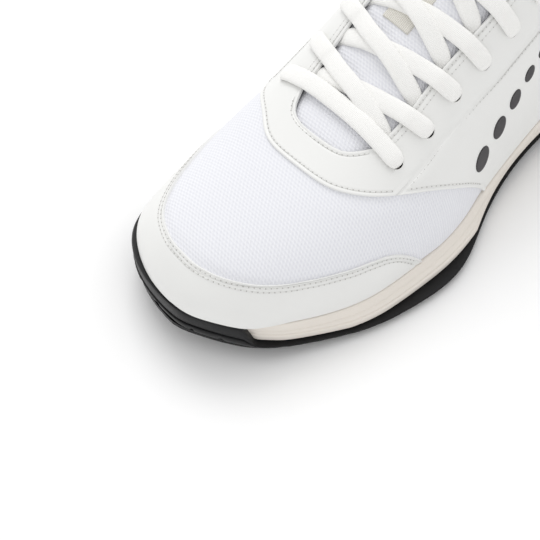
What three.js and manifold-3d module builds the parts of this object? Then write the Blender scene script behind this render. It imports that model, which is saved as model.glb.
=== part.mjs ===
// Left court shoe: cupped sole unit, lasted upper in layers, sprung tongue, loose sockliner and tied lace.
// Millimetres. +Z is up, the toe points along -Y and +X is the outer (lateral) side of a left foot.
// The upper is one surface, upperPoint(u, angle, depth): u runs from the toe tip (0) to the heel back (1),
// angle goes over the foot from the outer feather edge (0) through the top (90) to the inner one (180).
import * as THREE from 'three';
import { mergeVertices } from 'three/addons/utils/BufferGeometryUtils.js';
import Module from 'manifold-3d';

const wasm = await Module();
wasm.setup();

// Overall sizes
const shoeLength = 292;
const ballWidth = 117;
const waistWidth = 70;
const heelWidth = 78;
const toeBoxHeight = 35;
const instepHeight = 77;
const tongueTopRise = 101;
const toeSpring = 13;
const springLength = 74;
const ankleTopHeight = 68;
const heelTopHeight = 86;
const eyestayTopHeight = 98;

// Sole unit
const outsoleThickness = 4.2;
const outsoleLip = 0.3;
const bumperHeight = 15;
const bumperThickness = 3;
const waistRaise = 3;
const ballFloor = 11.5;
const heelRise = 12;
const rimAboveFloor = 3.5;
const heelRimRise = 2;
const rimWidth = 6.6;
const midsoleFlare = 3;
const shankThickness = 1.2;
const strobelThickness = 1.2;
const socklinerThickness = 4;
const clothThickness = 0.6;

// Layers of the upper, measured inwards from its outer face
const leather = 1;
const capLeather = 0.5;
const mesh = 1;
const stiffener = 1;
const lining = 0.8;
const layerGap = 0.5;
const meshDepth = leather + layerGap;
const stiffenerDepth = meshDepth + mesh + layerGap;
const liningDepth = stiffenerDepth + stiffener + layerGap;
const collarPuff = 5;
const collarDrop = 26;
const filmThickness = 0.4;

// Lacing
const eyeletRows = 6;
const firstEyeletMargin = 2.8;
const lastEyeletMargin = 9.2;
const eyeletRadius = 2.7;
const laceWidth = 7.6;
const laceThickness = 1.5;
const laceBundle = 3.4;
const bundleThickness = 2;

// Tongue
const tongueFace = 0.8;
const tongueFoam = 5;
const tongueCrown = leather + mesh + layerGap + laceThickness + 1.3;
const tongueWing = 6.6;
const tongueExtension = 30;

// Clearances
const fitGap = 0.3;
const cementGap = 0.5;
const seamGap = 0.9; // degrees of angle between panels that butt along a seam

const bumperReach = shoeLength / 2;
const innerToe = bumperReach - bumperThickness - fitGap;
const rimHeel = bumperReach - 1.5;
const upperToe = innerToe - 0.9;
const upperHeel = rimHeel - 1.5;
const springStart = springLength - shoeLength / 2;

const degrees = Math.PI / 180;
const clamp = (value, low, high) => Math.min(Math.max(value, low), high);
const lerp = (from, to, share) => from + (to - from) * share;
const smooth = (share) => {
    const t = clamp(share, 0, 1);
    return t * t * (3 - 2 * t);
};

// A monotone cubic through rows of [position, value, value, ...], read at any position.
function table(rows, column = 1) {
    const count = rows.length;
    const x = rows.map((row) => row[0]);
    const y = rows.map((row) => row[column]);
    const slope = x.slice(1).map((value, i) => (y[i + 1] - y[i]) / (value - x[i]));
    const tangent = x.map((value, i) => {
        if (i === 0) return slope[0];
        if (i === count - 1) return slope[count - 2];
        if (slope[i - 1] * slope[i] <= 0) return 0;
        return 2 * slope[i - 1] * slope[i] / (slope[i - 1] + slope[i]);
    });
    return (position) => {
        const p = clamp(position, x[0], x[count - 1]);
        let i = 0;
        while (i < count - 2 && p > x[i + 1]) i += 1;
        const span = x[i + 1] - x[i];
        const t = (p - x[i]) / span;
        const start = (1 + 2 * t) * (1 - t) * (1 - t) * y[i] + t * (1 - t) * (1 - t) * span * tangent[i];
        const end = t * t * (3 - 2 * t) * y[i + 1] + t * t * (t - 1) * span * tangent[i + 1];
        return start + end;
    };
}

// Plan of the shoe: rows of [u, lateral x, medial x], each worked from the width that rules there.
const ball = (u, lateral, medial) => [u, lateral * ballWidth, medial * ballWidth];
const waist = (u, lateral, medial) => [u, lateral * waistWidth, medial * waistWidth];
const heel = (u, lateral, medial) => [u, lateral * heelWidth, medial * heelWidth];
const outsolePlan = [ball(0, -0.013, -0.013), ball(0.08, 0.098, -0.235), ball(0.16, 0.261, -0.4),
    ball(0.24, 0.363, -0.474), ball(0.32, 0.462, -0.5), ball(0.4, 0.5, -0.474), waist(0.5, 0.56, -0.62),
    waist(0.6, 0.46, -0.51), heel(0.7, 0.44, -0.53), heel(0.8, 0.41, -0.53), heel(0.9, 0.25, -0.37),
    heel(1, -0.058, -0.058)];
const rimPlan = [ball(0, -0.013, -0.013), ball(0.08, 0.098, -0.2), ball(0.16, 0.245, -0.365),
    ball(0.24, 0.346, -0.438), ball(0.32, 0.415, -0.466), ball(0.4, 0.426, -0.456),
    waist(0.5, 0.571, -0.676), waist(0.6, 0.486, -0.536), heel(0.7, 0.436, -0.519), heel(0.8, 0.397, -0.513),
    heel(0.9, 0.224, -0.346), heel(1, -0.058, -0.058)];
const outsoleSide = [table(outsolePlan, 1), table(outsolePlan, 2)];
const rimSide = [table(rimPlan, 1), table(rimPlan, 2)];

function stationY(u, toeReach, heelReach) {
    const c = Math.cos(Math.PI * u);
    return -c * (c > 0 ? toeReach : heelReach);
}
const upperStation = (y) => Math.acos(clamp(-y / (y < 0 ? upperToe : upperHeel), -1, 1)) / Math.PI;

const spring = (y) => toeSpring * clamp((springStart - y) / springLength, 0, 1.2) ** 2;
const groundZ = (y) => spring(y) + waistRaise * smooth((y + 12) / 30) * smooth((62 - y) / 30);
const heelShare = (y) => smooth((y + 35) / 160);
const floorZ = (y) => ballFloor + spring(y) + heelRise * heelShare(y);
const rimZ = (y) => floorZ(y) + rimAboveFloor + heelRimRise * heelShare(y);

// Form of the upper: heights above the rim, the ridge's offset from the middle, how square each side is.
const crown = table([[0, 0], [0.08, 17], [0.16, 27], [0.24, toeBoxHeight], [0.32, 41.5], [0.4, 52],
    [0.5, instepHeight], [0.6, 97], [0.7, tongueTopRise], [0.8, 99], [1, 96]]);
const ridge = table([[0, 0], [0.3, -5], [0.55, -5], [0.75, 0], [1, 0]]);
const squareness = [table([[0, 2.3], [0.5, 2.3], [0.7, 2.4], [1, 2.4]]),
    table([[0, 2.3], [0.25, 2.15], [0.5, 2.7], [0.7, 2.4], [1, 2.4]])];
const featherInset = 0.8;

function form(u) {
    const lateral = rimSide[0](u) - featherInset * Math.sin(Math.PI * u);
    const medial = rimSide[1](u) + featherInset * Math.sin(Math.PI * u);
    const middle = (lateral + medial) / 2 + ridge(u);
    return { lateral, medial, middle, base: rimZ(stationY(u, upperToe, upperHeel)) + 0.4 };
}

function bareUpper(u, angle) {
    const { lateral, medial, middle, base } = form(u);
    const across = Math.cos(angle);
    const side = across > 0 ? 0 : 1;
    const power = 2 / squareness[side](u);
    const reach = side === 0 ? lateral - middle : middle - medial;
    const x = middle + Math.sign(across) * Math.abs(across) ** power * reach;
    const rise = crown(u) * Math.abs(Math.sin(angle)) ** power;
    const share = rise / 60;
    const heelCurve = 2.5 * Math.sin(Math.PI * clamp(share, 0, 1)) - 4 * share * share;
    const y = stationY(u, upperToe, upperHeel) + smooth((u - 0.78) / 0.2) * heelCurve;
    return new THREE.Vector3(x, y, base + rise);
}

function upperNormal(u, angle) {
    const du = 0.002;
    const da = 0.01;
    const un = clamp(u, 0.004, 0.996);
    const an = clamp(angle, 0.02, Math.PI - 0.02);
    const along = bareUpper(un + du, an).sub(bareUpper(un - du, an));
    const over = bareUpper(un, an + da).sub(bareUpper(un, an - da));
    const normal = along.cross(over).normalize();
    if (u < 0.0005) normal.set(0, -1, 0);
    if (u > 0.9995) normal.setX(0).normalize();
    return normal;
}

// Point of the upper at depth below its outer face; the angle is in degrees.
function upperPoint(u, angle, depth = 0) {
    const a = angle * degrees;
    return bareUpper(u, a).addScaledVector(upperNormal(u, a), -depth);
}

// The same surface read round the heel: w below 1 is the lateral side, above 1 the medial one.
function wrapPoint(w, angle, depth) {
    return w <= 1 ? upperPoint(w, angle, depth) : upperPoint(2 - w, 180 - angle, depth);
}

// Wrap angle at which the upper reaches a height.
function angleAtHeight(w, z) {
    const u = w <= 1 ? w : 2 - w;
    const side = w <= 1 ? 0 : 1;
    const share = clamp((z - form(u).base) / crown(u), 0, 1);
    return Math.asin(share ** (squareness[side](u) / 2)) / degrees;
}

// Pattern lines of the upper, as [angle, u] or [u, angle].
const toeCapLine = table([[0, 0.377], [18, 0.34], [25, 0.296], [28, 0.241], [36, 0.185], [44, 0.155],
    [57, 0.128], [76, 0.114], [94, 0.118], [122, 0.158], [131, 0.211], [138, 0.259], [152, 0.315],
    [180, 0.365]]);
const frontLine = table([[0, 0.476], [18, 0.435], [31, 0.405], [40, 0.379], [50, 0.352], [58, 0.338],
    [66, 0.326], [80, 0.32], [92, 0.319], [102, 0.324], [117, 0.347], [127, 0.358], [140, 0.375],
    [160, 0.425], [180, 0.465]]);
const throatStart = 0.386;
const throatEnd = 0.61;
const seamEnd = 0.655;
const throatCorner = [65, 106];
const seamCorner = [42, 140];
const throatFrontLine = table([[throatCorner[0], throatStart], [73, 0.363], [80, 0.358], [90, 0.356],
    [102, 0.365], [throatCorner[1], throatStart]]);
const throatLine = [table([[throatStart, throatCorner[0]], [0.444, 62], [0.5, 56], [0.548, 52], [0.62, 50]]),
    table([[throatStart, throatCorner[1]], [0.444, 107], [0.5, 105], [0.56, 106], [0.62, 110]])];
const seamLine = [
    table([[throatStart, seamCorner[0]], [0.421, 42], [0.478, 36], [0.529, 31], [0.578, 29], [seamEnd, 32]]),
    table([[throatStart, seamCorner[1]], [0.42, 140], [0.478, 143], [0.53, 146], [0.578, 149],
        [seamEnd, 148]]),
];
const eyeletLine = [table([[0.391, 53], [0.43, 50], [0.467, 47], [0.508, 42], [0.548, 39], [0.589, 38]]),
    table([[0.384, 125], [0.453, 124], [0.52, 126], [0.6, 130]])];

// Height of the topline, symmetrical about the heel.
const toplineHeight = table([[0.61, eyestayTopHeight], [0.65, 84], [0.69, 74], [0.74, ankleTopHeight + 1],
    [0.8, ankleTopHeight], [0.87, ankleTopHeight + 4], [0.94, heelTopHeight - 5], [1, heelTopHeight]]);
const toplineZ = (w) => toplineHeight(w <= 1 ? w : 2 - w);
const toplineAngle = (w) => angleAtHeight(w, toplineZ(w));

// Extra inward thickness of the padded collar at a place on the wrap.
function collarBulge(w, z) {
    const u = w <= 1 ? w : 2 - w;
    const share = (toplineZ(w) - z) / collarDrop;
    if (share <= 0 || share >= 1) return 0;
    return collarPuff * Math.sin(Math.PI * share) * smooth((u - 0.655) / 0.07);
}

// ---- building closed bodies ----

const group = new THREE.Group();
const materials = {
    rubber: [0x232326, 0.55], midsoleFoam: [0xe4dad0, 0.7], whiteLeather: [0xf0f0ee, 0.45],
    whiteMesh: [0xeeeef6, 0.85], whiteTextile: [0xf2f0ec, 0.9], greyBoard: [0xb9b6ae, 0.9],
    shankPlastic: [0x3a3d42, 0.5], paddingFoam: [0xe9e4d2, 0.95], ribbon: [0xe7dfcf, 0.85],
    laceTextile: [0xf4f2ec, 0.85], aglet: [0xe9ecec, 0.25], charcoalFilm: [0x2d2a2e, 0.5],
};

function addGeometry(name, material, geometry) {
    const [color, roughness] = materials[material];
    const finish = new THREE.MeshStandardMaterial({ color, roughness, metalness: 0 });
    const body = new THREE.Mesh(geometry, finish);
    body.name = name;
    group.add(body);
}

// Merges coincident points, drops empty triangles and turns the faces outwards.
function closedBody(points, triangles) {
    const soup = new THREE.BufferGeometry();
    const flat = triangles.flatMap((index) => points[index].toArray());
    soup.setAttribute('position', new THREE.Float32BufferAttribute(flat, 3));
    const merged = mergeVertices(soup, 1e-3);
    const index = merged.getIndex().array;
    const position = merged.getAttribute('position');
    const kept = [];
    let volume = 0;
    const a = new THREE.Vector3();
    const b = new THREE.Vector3();
    const c = new THREE.Vector3();
    for (let i = 0; i < index.length; i += 3) {
        const [p, q, r] = [index[i], index[i + 1], index[i + 2]];
        if (p === q || q === r || r === p) continue;
        kept.push(p, q, r);
        a.fromBufferAttribute(position, p);
        b.fromBufferAttribute(position, q);
        c.fromBufferAttribute(position, r);
        volume += a.dot(b.cross(c));
    }
    const turned = [];
    for (let i = 0; i < kept.length; i += 3) turned.push(kept[i], kept[i + 2], kept[i + 1]);
    const body = new THREE.BufferGeometry();
    body.setAttribute('position', position.clone());
    body.setIndex(volume < 0 ? turned : kept);
    return body;
}

// A stack of rows of points joined row to row; the first and last rows are closed by a fan when asked.
function loft(rows, { ring = false, caps = false } = {}) {
    const points = rows.flat();
    const width = rows[0].length;
    const triangles = [];
    const last = ring ? width : width - 1;
    for (let i = 0; i < rows.length - 1; i += 1) {
        for (let j = 0; j < last; j += 1) {
            const [a, b] = [i * width + j, i * width + (j + 1) % width];
            const [c, d] = [a + width, b + width];
            triangles.push(a, b, d, a, d, c);
        }
    }
    if (caps) {
        const end = (rows.length - 1) * width;
        for (let j = 1; j < width - 1; j += 1) {
            triangles.push(0, j + 1, j, end, end + j, end + j + 1);
        }
    }
    return closedBody(points, triangles);
}

// A curved sheet with thickness: point(s, t, face) gives its outer (0) and inner (1) faces.
function sheet(rows, columns, point) {
    const face = (side) => Array.from({ length: rows + 1 }, (_, i) =>
        Array.from({ length: columns + 1 }, (__, j) => point(i / rows, j / columns, side)));
    const outer = face(0);
    const inner = face(1);
    const bands = outer.map((row, i) => [...row, ...inner[i].slice().reverse()]);
    return bandsToBody(bands, columns);
}

// Bands wrap round the sheet's edge; the two end bands are closed across the thickness.
function bandsToBody(bands, columns) {
    const width = bands[0].length;
    const points = bands.flat();
    const triangles = [];
    for (let i = 0; i < bands.length - 1; i += 1) {
        for (let j = 0; j < width; j += 1) {
            const [a, b] = [i * width + j, i * width + (j + 1) % width];
            const [c, d] = [a + width, b + width];
            triangles.push(a, b, d, a, d, c);
        }
    }
    const end = (bands.length - 1) * width;
    for (let j = 0; j < columns; j += 1) {
        const [a, b, c, d] = [j, j + 1, width - 1 - j, width - 2 - j];
        triangles.push(a, d, b, a, c, d);
        triangles.push(end + a, end + b, end + d, end + a, end + d, end + c);
    }
    return closedBody(points, triangles);
}

// A sheet between two pattern lines, low(s) and high(s) giving [w, angle]; depths(w, angle) its two depths.
function panel(rows, columns, low, high, depths) {
    return sheet(rows, columns, (s, t, side) => {
        const [w0, a0] = low(s);
        const [w1, a1] = high(s);
        const [w, angle] = [lerp(w0, w1, t), lerp(a0, a1, t)];
        return wrapPoint(w, angle, depths(w, angle)[side]);
    });
}

// A ring round the sole: the plan outline moved inwards by inset, square to itself.
const soleStations = 24;
function soleRing(side, toeReach, heelReach, inset, height) {
    const outline = (u, k) => new THREE.Vector2(side[k](u), stationY(u, toeReach, heelReach));
    const ringPoint = (u, k) => {
        const at = outline(u, k);
        const before = outline(Math.max(u - 0.004, 0), k);
        const along = outline(Math.min(u + 0.004, 1), k).sub(before).normalize();
        const turn = k === 0 ? 1 : -1;
        const inward = new THREE.Vector2(-turn * along.y, turn * along.x);
        if (u === 0) inward.set(0, 1);
        if (u === 1) inward.set(0, -1);
        at.addScaledVector(inward, inset);
        return new THREE.Vector3(at.x, at.y, height(u, k, at.y));
    };
    const lateral = Array.from({ length: soleStations + 1 }, (_, i) => ringPoint(i / soleStations, 0));
    const medial = Array.from({ length: soleStations - 1 }, (_, i) => ringPoint((i + 1) / soleStations, 1));
    return [...lateral, ...medial.reverse()];
}

// The ring folded onto the middle line, which closes a face of the sole.
function soleSpine(ring) {
    const count = ring.length;
    return ring.map((point, i) => {
        const mate = ring[(count - i) % count];
        return point.clone().add(mate).multiplyScalar(0.5);
    });
}

function soleBody(rings) {
    return loft([soleSpine(rings[0]), ...rings, soleSpine(rings[rings.length - 1])], { ring: true });
}

// ---- sole unit ----

// Height of the outsole's side wall: a full bumper at the toe, longer on the medial side, a low lip behind.
function wallHeight(u, k) {
    const share = k === 0 ? smooth((0.155 - u) / 0.045) : smooth((0.225 - u) / 0.05);
    return lerp(outsoleThickness + outsoleLip, bumperHeight, share);
}

const heelSetback = 3;
function outsole() {
    const ground = (u, k, y) => groundZ(y);
    const wallTop = (u, k, y) => groundZ(y) + wallHeight(u, k);
    const back = bumperReach - heelSetback;
    const ring = (inset, height) => soleRing(outsoleSide, bumperReach, back, inset, height);
    return soleBody([
        ring(3, ground),
        ring(0.6, (u, k, y) => groundZ(y) + 1.6),
        ring(0, (u, k, y) => groundZ(y) + outsoleThickness - 0.8),
        ring(0.4, wallTop),
        ring(bumperThickness, wallTop),
        ring(bumperThickness + fitGap, (u, k, y) => groundZ(y) + outsoleThickness),
    ]);
}

const soleBottom = outsoleThickness + outsoleLip + cementGap;

// Side of the midsole below its rim: it flares out, but stays inside the toe bumper.
const insideBumper = bumperThickness + 2 * fitGap;
function flaredSide(k) {
    return (u) => {
        const sign = k === 0 ? 1 : -1;
        const flare = midsoleFlare * Math.sin(Math.PI * u) * smooth((u - 0.14) / 0.1);
        const flared = rimSide[k](u) + sign * flare;
        const limit = outsoleSide[k](u) - sign * insideBumper;
        const boxed = k === 0 ? Math.min(flared, limit) : Math.max(flared, limit);
        return lerp(boxed, flared, smooth((u - (k === 0 ? 0.16 : 0.23)) / 0.06));
    };
}

// The shank lies in a shallow pocket in the waist of the midsole's floor.
const shankShare = (u) => smooth((u - 0.44) / 0.04) * smooth((0.68 - u) / 0.04);
const pocketDepth = shankThickness + fitGap;

function midsole() {
    const flared = [flaredSide(0), flaredSide(1)];
    const toe = innerToe - cementGap;
    const ring = (side, inset, height, back = rimHeel) => soleRing(side, toe, back, inset, height);
    return soleBody([
        ring(flared, 1.5, (u, k, y) => groundZ(y) + soleBottom),
        ring(flared, 0, (u, k, y) => groundZ(y) + soleBottom + 3, rimHeel + 1.5),
        ring(rimSide, 0, (u, k, y) => rimZ(y) - 0.8),
        ring(rimSide, 0.4, (u, k, y) => rimZ(y)),
        ring(rimSide, rimWidth, (u, k, y) => rimZ(y)),
        ring(rimSide, rimWidth + 0.4, (u, k, y) => floorZ(y)),
        ring(rimSide, rimWidth + 8, (u, k, y) => floorZ(y) - pocketDepth * shankShare(u)),
    ]);
}

// A flat layer of the insole package between two heights above the midsole's floor.
function insoleLayer(inset, low, high) {
    const ring = (height) => soleRing(rimSide, innerToe, rimHeel, inset, (u, k, y) => floorZ(y) + height);
    return soleBody([ring(low), ring(high)]);
}

function shankPlate() {
    const halfWidth = 17;
    const point = (s, t, face) => {
        const u = lerp(0.495, 0.625, s);
        const y = stationY(u, innerToe, rimHeel);
        const middle = (rimSide[0](u) + rimSide[1](u)) / 2;
        const x = middle + lerp(-halfWidth, halfWidth, t);
        return new THREE.Vector3(x, y, floorZ(y) - face * shankThickness);
    };
    return sheet(8, 2, point);
}

const strobelInset = rimWidth + 1;
const strobelLow = fitGap;
const socklinerInset = rimWidth + 2.6;
const socklinerLow = strobelLow + strobelThickness + fitGap;
const clothLow = socklinerLow + socklinerThickness + fitGap;

addGeometry('outsole', 'rubber', outsole());
addGeometry('midsole', 'midsoleFoam', midsole());
addGeometry('shank_plate', 'shankPlastic', shankPlate());
addGeometry('strobel_board', 'greyBoard',
    insoleLayer(strobelInset, strobelLow, strobelLow + strobelThickness));
addGeometry('sockliner', 'paddingFoam',
    insoleLayer(socklinerInset, socklinerLow, socklinerLow + socklinerThickness));
addGeometry('sockliner_cloth', 'whiteTextile',
    insoleLayer(socklinerInset + 0.4, clothLow, clothLow + clothThickness));

// ---- layers of the upper ----

const between = (depth, thickness) => () => [depth, depth + thickness];

// The forefoot from the toe tip back to a pattern line, over the whole foot. All its layers share one
// lattice of stations, cut off at the line, so stacked faces stay parallel.
const stationStep = 0.036;
const forefootColumns = 20;
function forefoot(line, depth, thickness) {
    const furthest = Math.max(...Array.from({ length: 181 }, (_, angle) => line(angle)));
    const rows = Math.ceil(furthest / stationStep);
    return sheet(rows, forefootColumns, (s, t, face) => {
        const angle = 180 * t;
        const station = Math.round(s * rows) * stationStep;
        return upperPoint(Math.min(station, line(angle)), angle, depth + face * thickness);
    });
}

// Under the eyestay the vamp runs on behind the front line, but stops short of the throat.
const vampEnd = (angle) => Math.min(frontLine(angle) + 0.02, 0.342 + 0.14 * Math.abs(angle - 88) / 88);
const liningEnd = (angle) => Math.min(0.344 + 0.02 * Math.abs(angle - 88) / 88, vampEnd(angle) + 0.004);

addGeometry('vamp_mesh', 'whiteMesh', forefoot(vampEnd, meshDepth, mesh));
addGeometry('vamp_lining', 'whiteTextile', forefoot(liningEnd, liningDepth, lining));
addGeometry('toe_cap', 'whiteLeather', forefoot(toeCapLine, 0, capLeather));
const puffEnd = (angle) => toeCapLine(angle) * 0.86;
addGeometry('toe_puff', 'greyBoard', forefoot(puffEnd, stiffenerDepth, stiffener));

// The eyestay is a U: up the medial arm, round the front of the throat and up the lateral arm.
function eyestayPair(s) {
    const arm = 0.36;
    if (s < arm || s > 1 - arm) {
        const k = s < arm ? 1 : 0;
        const up = k === 1 ? 1 - s / arm : (s - 1 + arm) / arm;
        const outer = lerp(throatStart, seamEnd, up);
        const inner = lerp(throatStart, throatEnd, up);
        return [[outer, seamLine[k](outer)], [inner, throatLine[k](inner)]];
    }
    const turn = (s - arm) / (1 - 2 * arm);
    const outerAngle = lerp(seamCorner[1], seamCorner[0], turn);
    const innerAngle = lerp(throatCorner[1], throatCorner[0], turn);
    return [[frontLine(outerAngle), outerAngle], [throatFrontLine(innerAngle), innerAngle]];
}

// The eyelets stand at equal steps along the shoe between the throat's corner and the top of the arms.
const firstEyelet = stationY(throatStart, upperToe, upperHeel) + firstEyeletMargin;
const lastEyelet = stationY(throatEnd, upperToe, upperHeel) - lastEyeletMargin;
function eyeletPlace(row, k) {
    const u = upperStation(lerp(firstEyelet, lastEyelet, row / (eyeletRows - 1)));
    return [u, eyeletLine[k](u)];
}

// Subtracts round eyelet holes, bored square to the upper, from a body.
function punchEyelets(geometry, sides) {
    let body = toManifold(geometry);
    for (const k of sides) {
        for (let row = 0; row < eyeletRows; row += 1) {
            const [u, angle] = eyeletPlace(row, k);
            const axis = upperNormal(u, angle * degrees);
            const drill = new THREE.CylinderGeometry(eyeletRadius, eyeletRadius, 14, 10);
            const turn = new THREE.Quaternion().setFromUnitVectors(new THREE.Vector3(0, 1, 0), axis);
            drill.applyQuaternion(turn);
            drill.translate(...upperPoint(u, angle, 1).toArray());
            body = body.subtract(toManifold(drill));
        }
    }
    return fromManifold(body);
}

function toManifold(geometry) {
    const bare = geometry.clone();
    bare.deleteAttribute('normal');
    bare.deleteAttribute('uv');
    const merged = mergeVertices(bare, 1e-4);
    const vertProperties = new Float32Array(merged.getAttribute('position').array);
    const triVerts = new Uint32Array(merged.getIndex().array);
    return new wasm.Manifold(new wasm.Mesh({ numProp: 3, vertProperties, triVerts }));
}

function fromManifold(body) {
    const result = body.getMesh();
    const geometry = new THREE.BufferGeometry();
    geometry.setAttribute('position', new THREE.Float32BufferAttribute(result.vertProperties, 3));
    geometry.setIndex(new THREE.Uint32BufferAttribute(result.triVerts, 1));
    return geometry;
}

const eyestay = sheet(32, 4, (s, t, face) => {
    const [[u0, a0], [u1, a1]] = eyestayPair(s);
    return upperPoint(lerp(u0, u1, t), lerp(a0, a1, t), face * leather);
});
addGeometry('eyestay', 'whiteLeather', punchEyelets(eyestay, [0, 1]));

['lateral', 'medial'].forEach((name, k) => {
    const backing = sheet(14, 3, (s, t, face) => {
        const up = lerp(0.03, 0.985, s);
        const outer = lerp(throatStart, seamEnd, up);
        const inner = lerp(throatStart, throatEnd, up);
        const u = lerp(outer, inner, lerp(0.12, 0.97, t));
        const angle = lerp(seamLine[k](outer), throatLine[k](inner), lerp(0.12, 0.97, t));
        return upperPoint(u, angle, meshDepth + face * mesh);
    });
    addGeometry(`eyestay_backing_${name}`, 'whiteTextile', punchEyelets(backing, [k]));
});

// Side panels. In wrap terms the medial one mirrors the lateral one: w becomes 2 - w.
const heelSeam = 0.82;
['lateral', 'medial'].forEach((name, k) => {
    const mirror = (w) => (k === 0 ? w : 2 - w);
    const fold = (angle) => (k === 0 ? angle : 180 - angle);
    const back = heelSeam - 0.004;
    const frontFoot = k === 0 ? frontLine(0) : frontLine(180);
    const low = (s) => [mirror(lerp(frontFoot, back, s)), 0];
    const high = (s) => {
        const u = lerp(throatStart + 0.001, back, s);
        const edge = u < seamEnd ? fold(seamLine[k](u)) - seamGap : toplineAngle(mirror(u)) - seamGap;
        return [mirror(u), edge];
    };
    addGeometry(`quarter_${name}`, 'whiteLeather', panel(18, 5, low, high, between(0, leather)));
});

const overlay = (s) => lerp(heelSeam, 2 - heelSeam, s);
addGeometry('heel_overlay', 'whiteLeather', panel(12, 5, (s) => [overlay(s), 0],
    (s) => [overlay(s), toplineAngle(overlay(s)) - seamGap], between(0, leather)));

const counterSpan = (s) => lerp(0.76, 1.24, s);
const counterTop = (w) => angleAtHeight(w, toplineZ(w) - collarDrop - 2);
addGeometry('heel_counter', 'greyBoard', panel(14, 3, (s) => [counterSpan(s), 1],
    (s) => [counterSpan(s), counterTop(counterSpan(s))], between(stiffenerDepth, stiffener)));

// One lining runs from the throat on one side, round the heel and back to the throat on the other.
const liningStart = 0.392;
const armTop = [table([[0.39, 44], [0.467, 38], [0.548, 30], [0.6, 28], [seamEnd, 30]]),
    table([[0.39, 46], [0.467, 46], [0.548, 43], [0.6, 40], [seamEnd, 33]])];
function liningTop(w) {
    const u = w <= 1 ? w : 2 - w;
    const arm = armTop[w <= 1 ? 0 : 1](u);
    return lerp(arm, toplineAngle(w) - seamGap, smooth((u - seamEnd + 0.02) / 0.03));
}
const liningSpan = (s) => lerp(liningStart, 2 - liningStart, s);
function liningDepths(w, angle) {
    const depth = liningDepth + collarBulge(w, wrapPoint(w, angle, 0).z);
    return [depth, depth + lining];
}
addGeometry('quarter_lining', 'whiteTextile', panel(38, 6, (s) => [liningSpan(s), 0],
    (s) => [liningSpan(s), liningTop(liningSpan(s))], liningDepths));

const collarSpan = (s) => lerp(0.672, 1.328, s);
const collarFoot = (w) => angleAtHeight(w, toplineZ(w) - collarDrop);
const collarDepths = (w, angle) =>
    [meshDepth, liningDepth - 2 * layerGap + collarBulge(w, wrapPoint(w, angle, 0).z)];
addGeometry('collar_padding', 'paddingFoam', panel(24, 4, (s) => [collarSpan(s), collarFoot(collarSpan(s))],
    (s) => [collarSpan(s), toplineAngle(collarSpan(s)) - seamGap], collarDepths));

// The binding is a rounded strip along the top of the collar.
const bindingProfile = [[0, 0.5], [-0.6, 2.2], [-2.8, 3], [-5, 2.2], [-5.6, 0.5]];
addGeometry('collar_binding', 'whiteTextile', loft(Array.from({ length: 33 }, (_, i) => {
    const w = lerp(0.67, 1.33, i / 32);
    return bindingProfile.map(([depth, lift]) =>
        wrapPoint(w, toplineAngle(w), -depth).add(new THREE.Vector3(0, 0, lift)));
}), { ring: true, caps: true }));

// ---- tongue ----

const tongueStart = 0.366;
const tongueLean = new THREE.Vector3(0, 0.76, 0.65);
const wingReach = table([[tongueStart, 5], [0.42, 11], [0.5, 13], [0.56, 14], [throatEnd, 13]]);

// v runs up the tongue, t across it from the lateral wing, depth down from its face.
function tonguePoint(v, t, depth) {
    const bend = 0.78;
    const u = lerp(tongueStart, throatEnd, Math.min(v / bend, 1));
    const beyond = Math.max(0, v - bend) / (1 - bend);
    const lateral = throatLine[0](u) - wingReach(u);
    const medial = throatLine[1](u) + wingReach(u);
    const rounding = 1 - 0.35 * beyond ** 3;
    const angle = lerp(lateral, medial, 0.5 + (t - 0.5) * rounding);
    const sink = lerp(tongueWing, tongueCrown, smooth(Math.min(t, 1 - t) / 0.3));
    const point = upperPoint(u, angle, sink + depth * lerp(0.45, 1, smooth(v / 0.15)));
    return point.addScaledVector(tongueLean, beyond * tongueExtension);
}

function tongueLayer(from, to, margin) {
    return sheet(12, 6, (s, t, face) =>
        tonguePoint(lerp(margin, 1 - margin, s), lerp(margin, 1 - margin, t), face === 0 ? from : to));
}
const softGap = 0.75;
const foamTop = tongueFace + softGap;
const foamBottom = foamTop + tongueFoam;
const tongueLiningTop = foamBottom + softGap;
addGeometry('tongue_face', 'whiteMesh', tongueLayer(0, tongueFace, 0));
addGeometry('tongue_padding', 'paddingFoam', tongueLayer(foamTop, foamBottom, 0.03));
addGeometry('tongue_lining', 'whiteTextile', tongueLayer(tongueLiningTop, tongueLiningTop + lining, 0));

// ---- lace ----

const flatSection = (width, thick) => [[width / 2, -thick / 2], [width / 2, thick / 2],
    [-width / 2, thick / 2], [-width / 2, -thick / 2]];

// A lace body along stations {at, up, width, thick}: up is the direction the flat side faces.
function laceBody(stations) {
    let previous = null;
    const rows = stations.map((station, i) => {
        const before = stations[Math.max(i - 1, 0)].at;
        const after = stations[Math.min(i + 1, stations.length - 1)].at;
        const tangent = after.clone().sub(before).normalize();
        const across = station.across ? station.across.clone() : station.up.clone().cross(tangent);
        across.addScaledVector(tangent, -across.dot(tangent)).normalize();
        if (previous && across.dot(previous) < 0) across.negate();
        previous = across;
        const face = tangent.clone().cross(across).normalize();
        return flatSection(station.width, station.thick).map(([a, b]) =>
            station.at.clone().addScaledVector(across, a).addScaledVector(face, b));
    });
    return loft(rows, { ring: true, caps: true });
}

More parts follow.
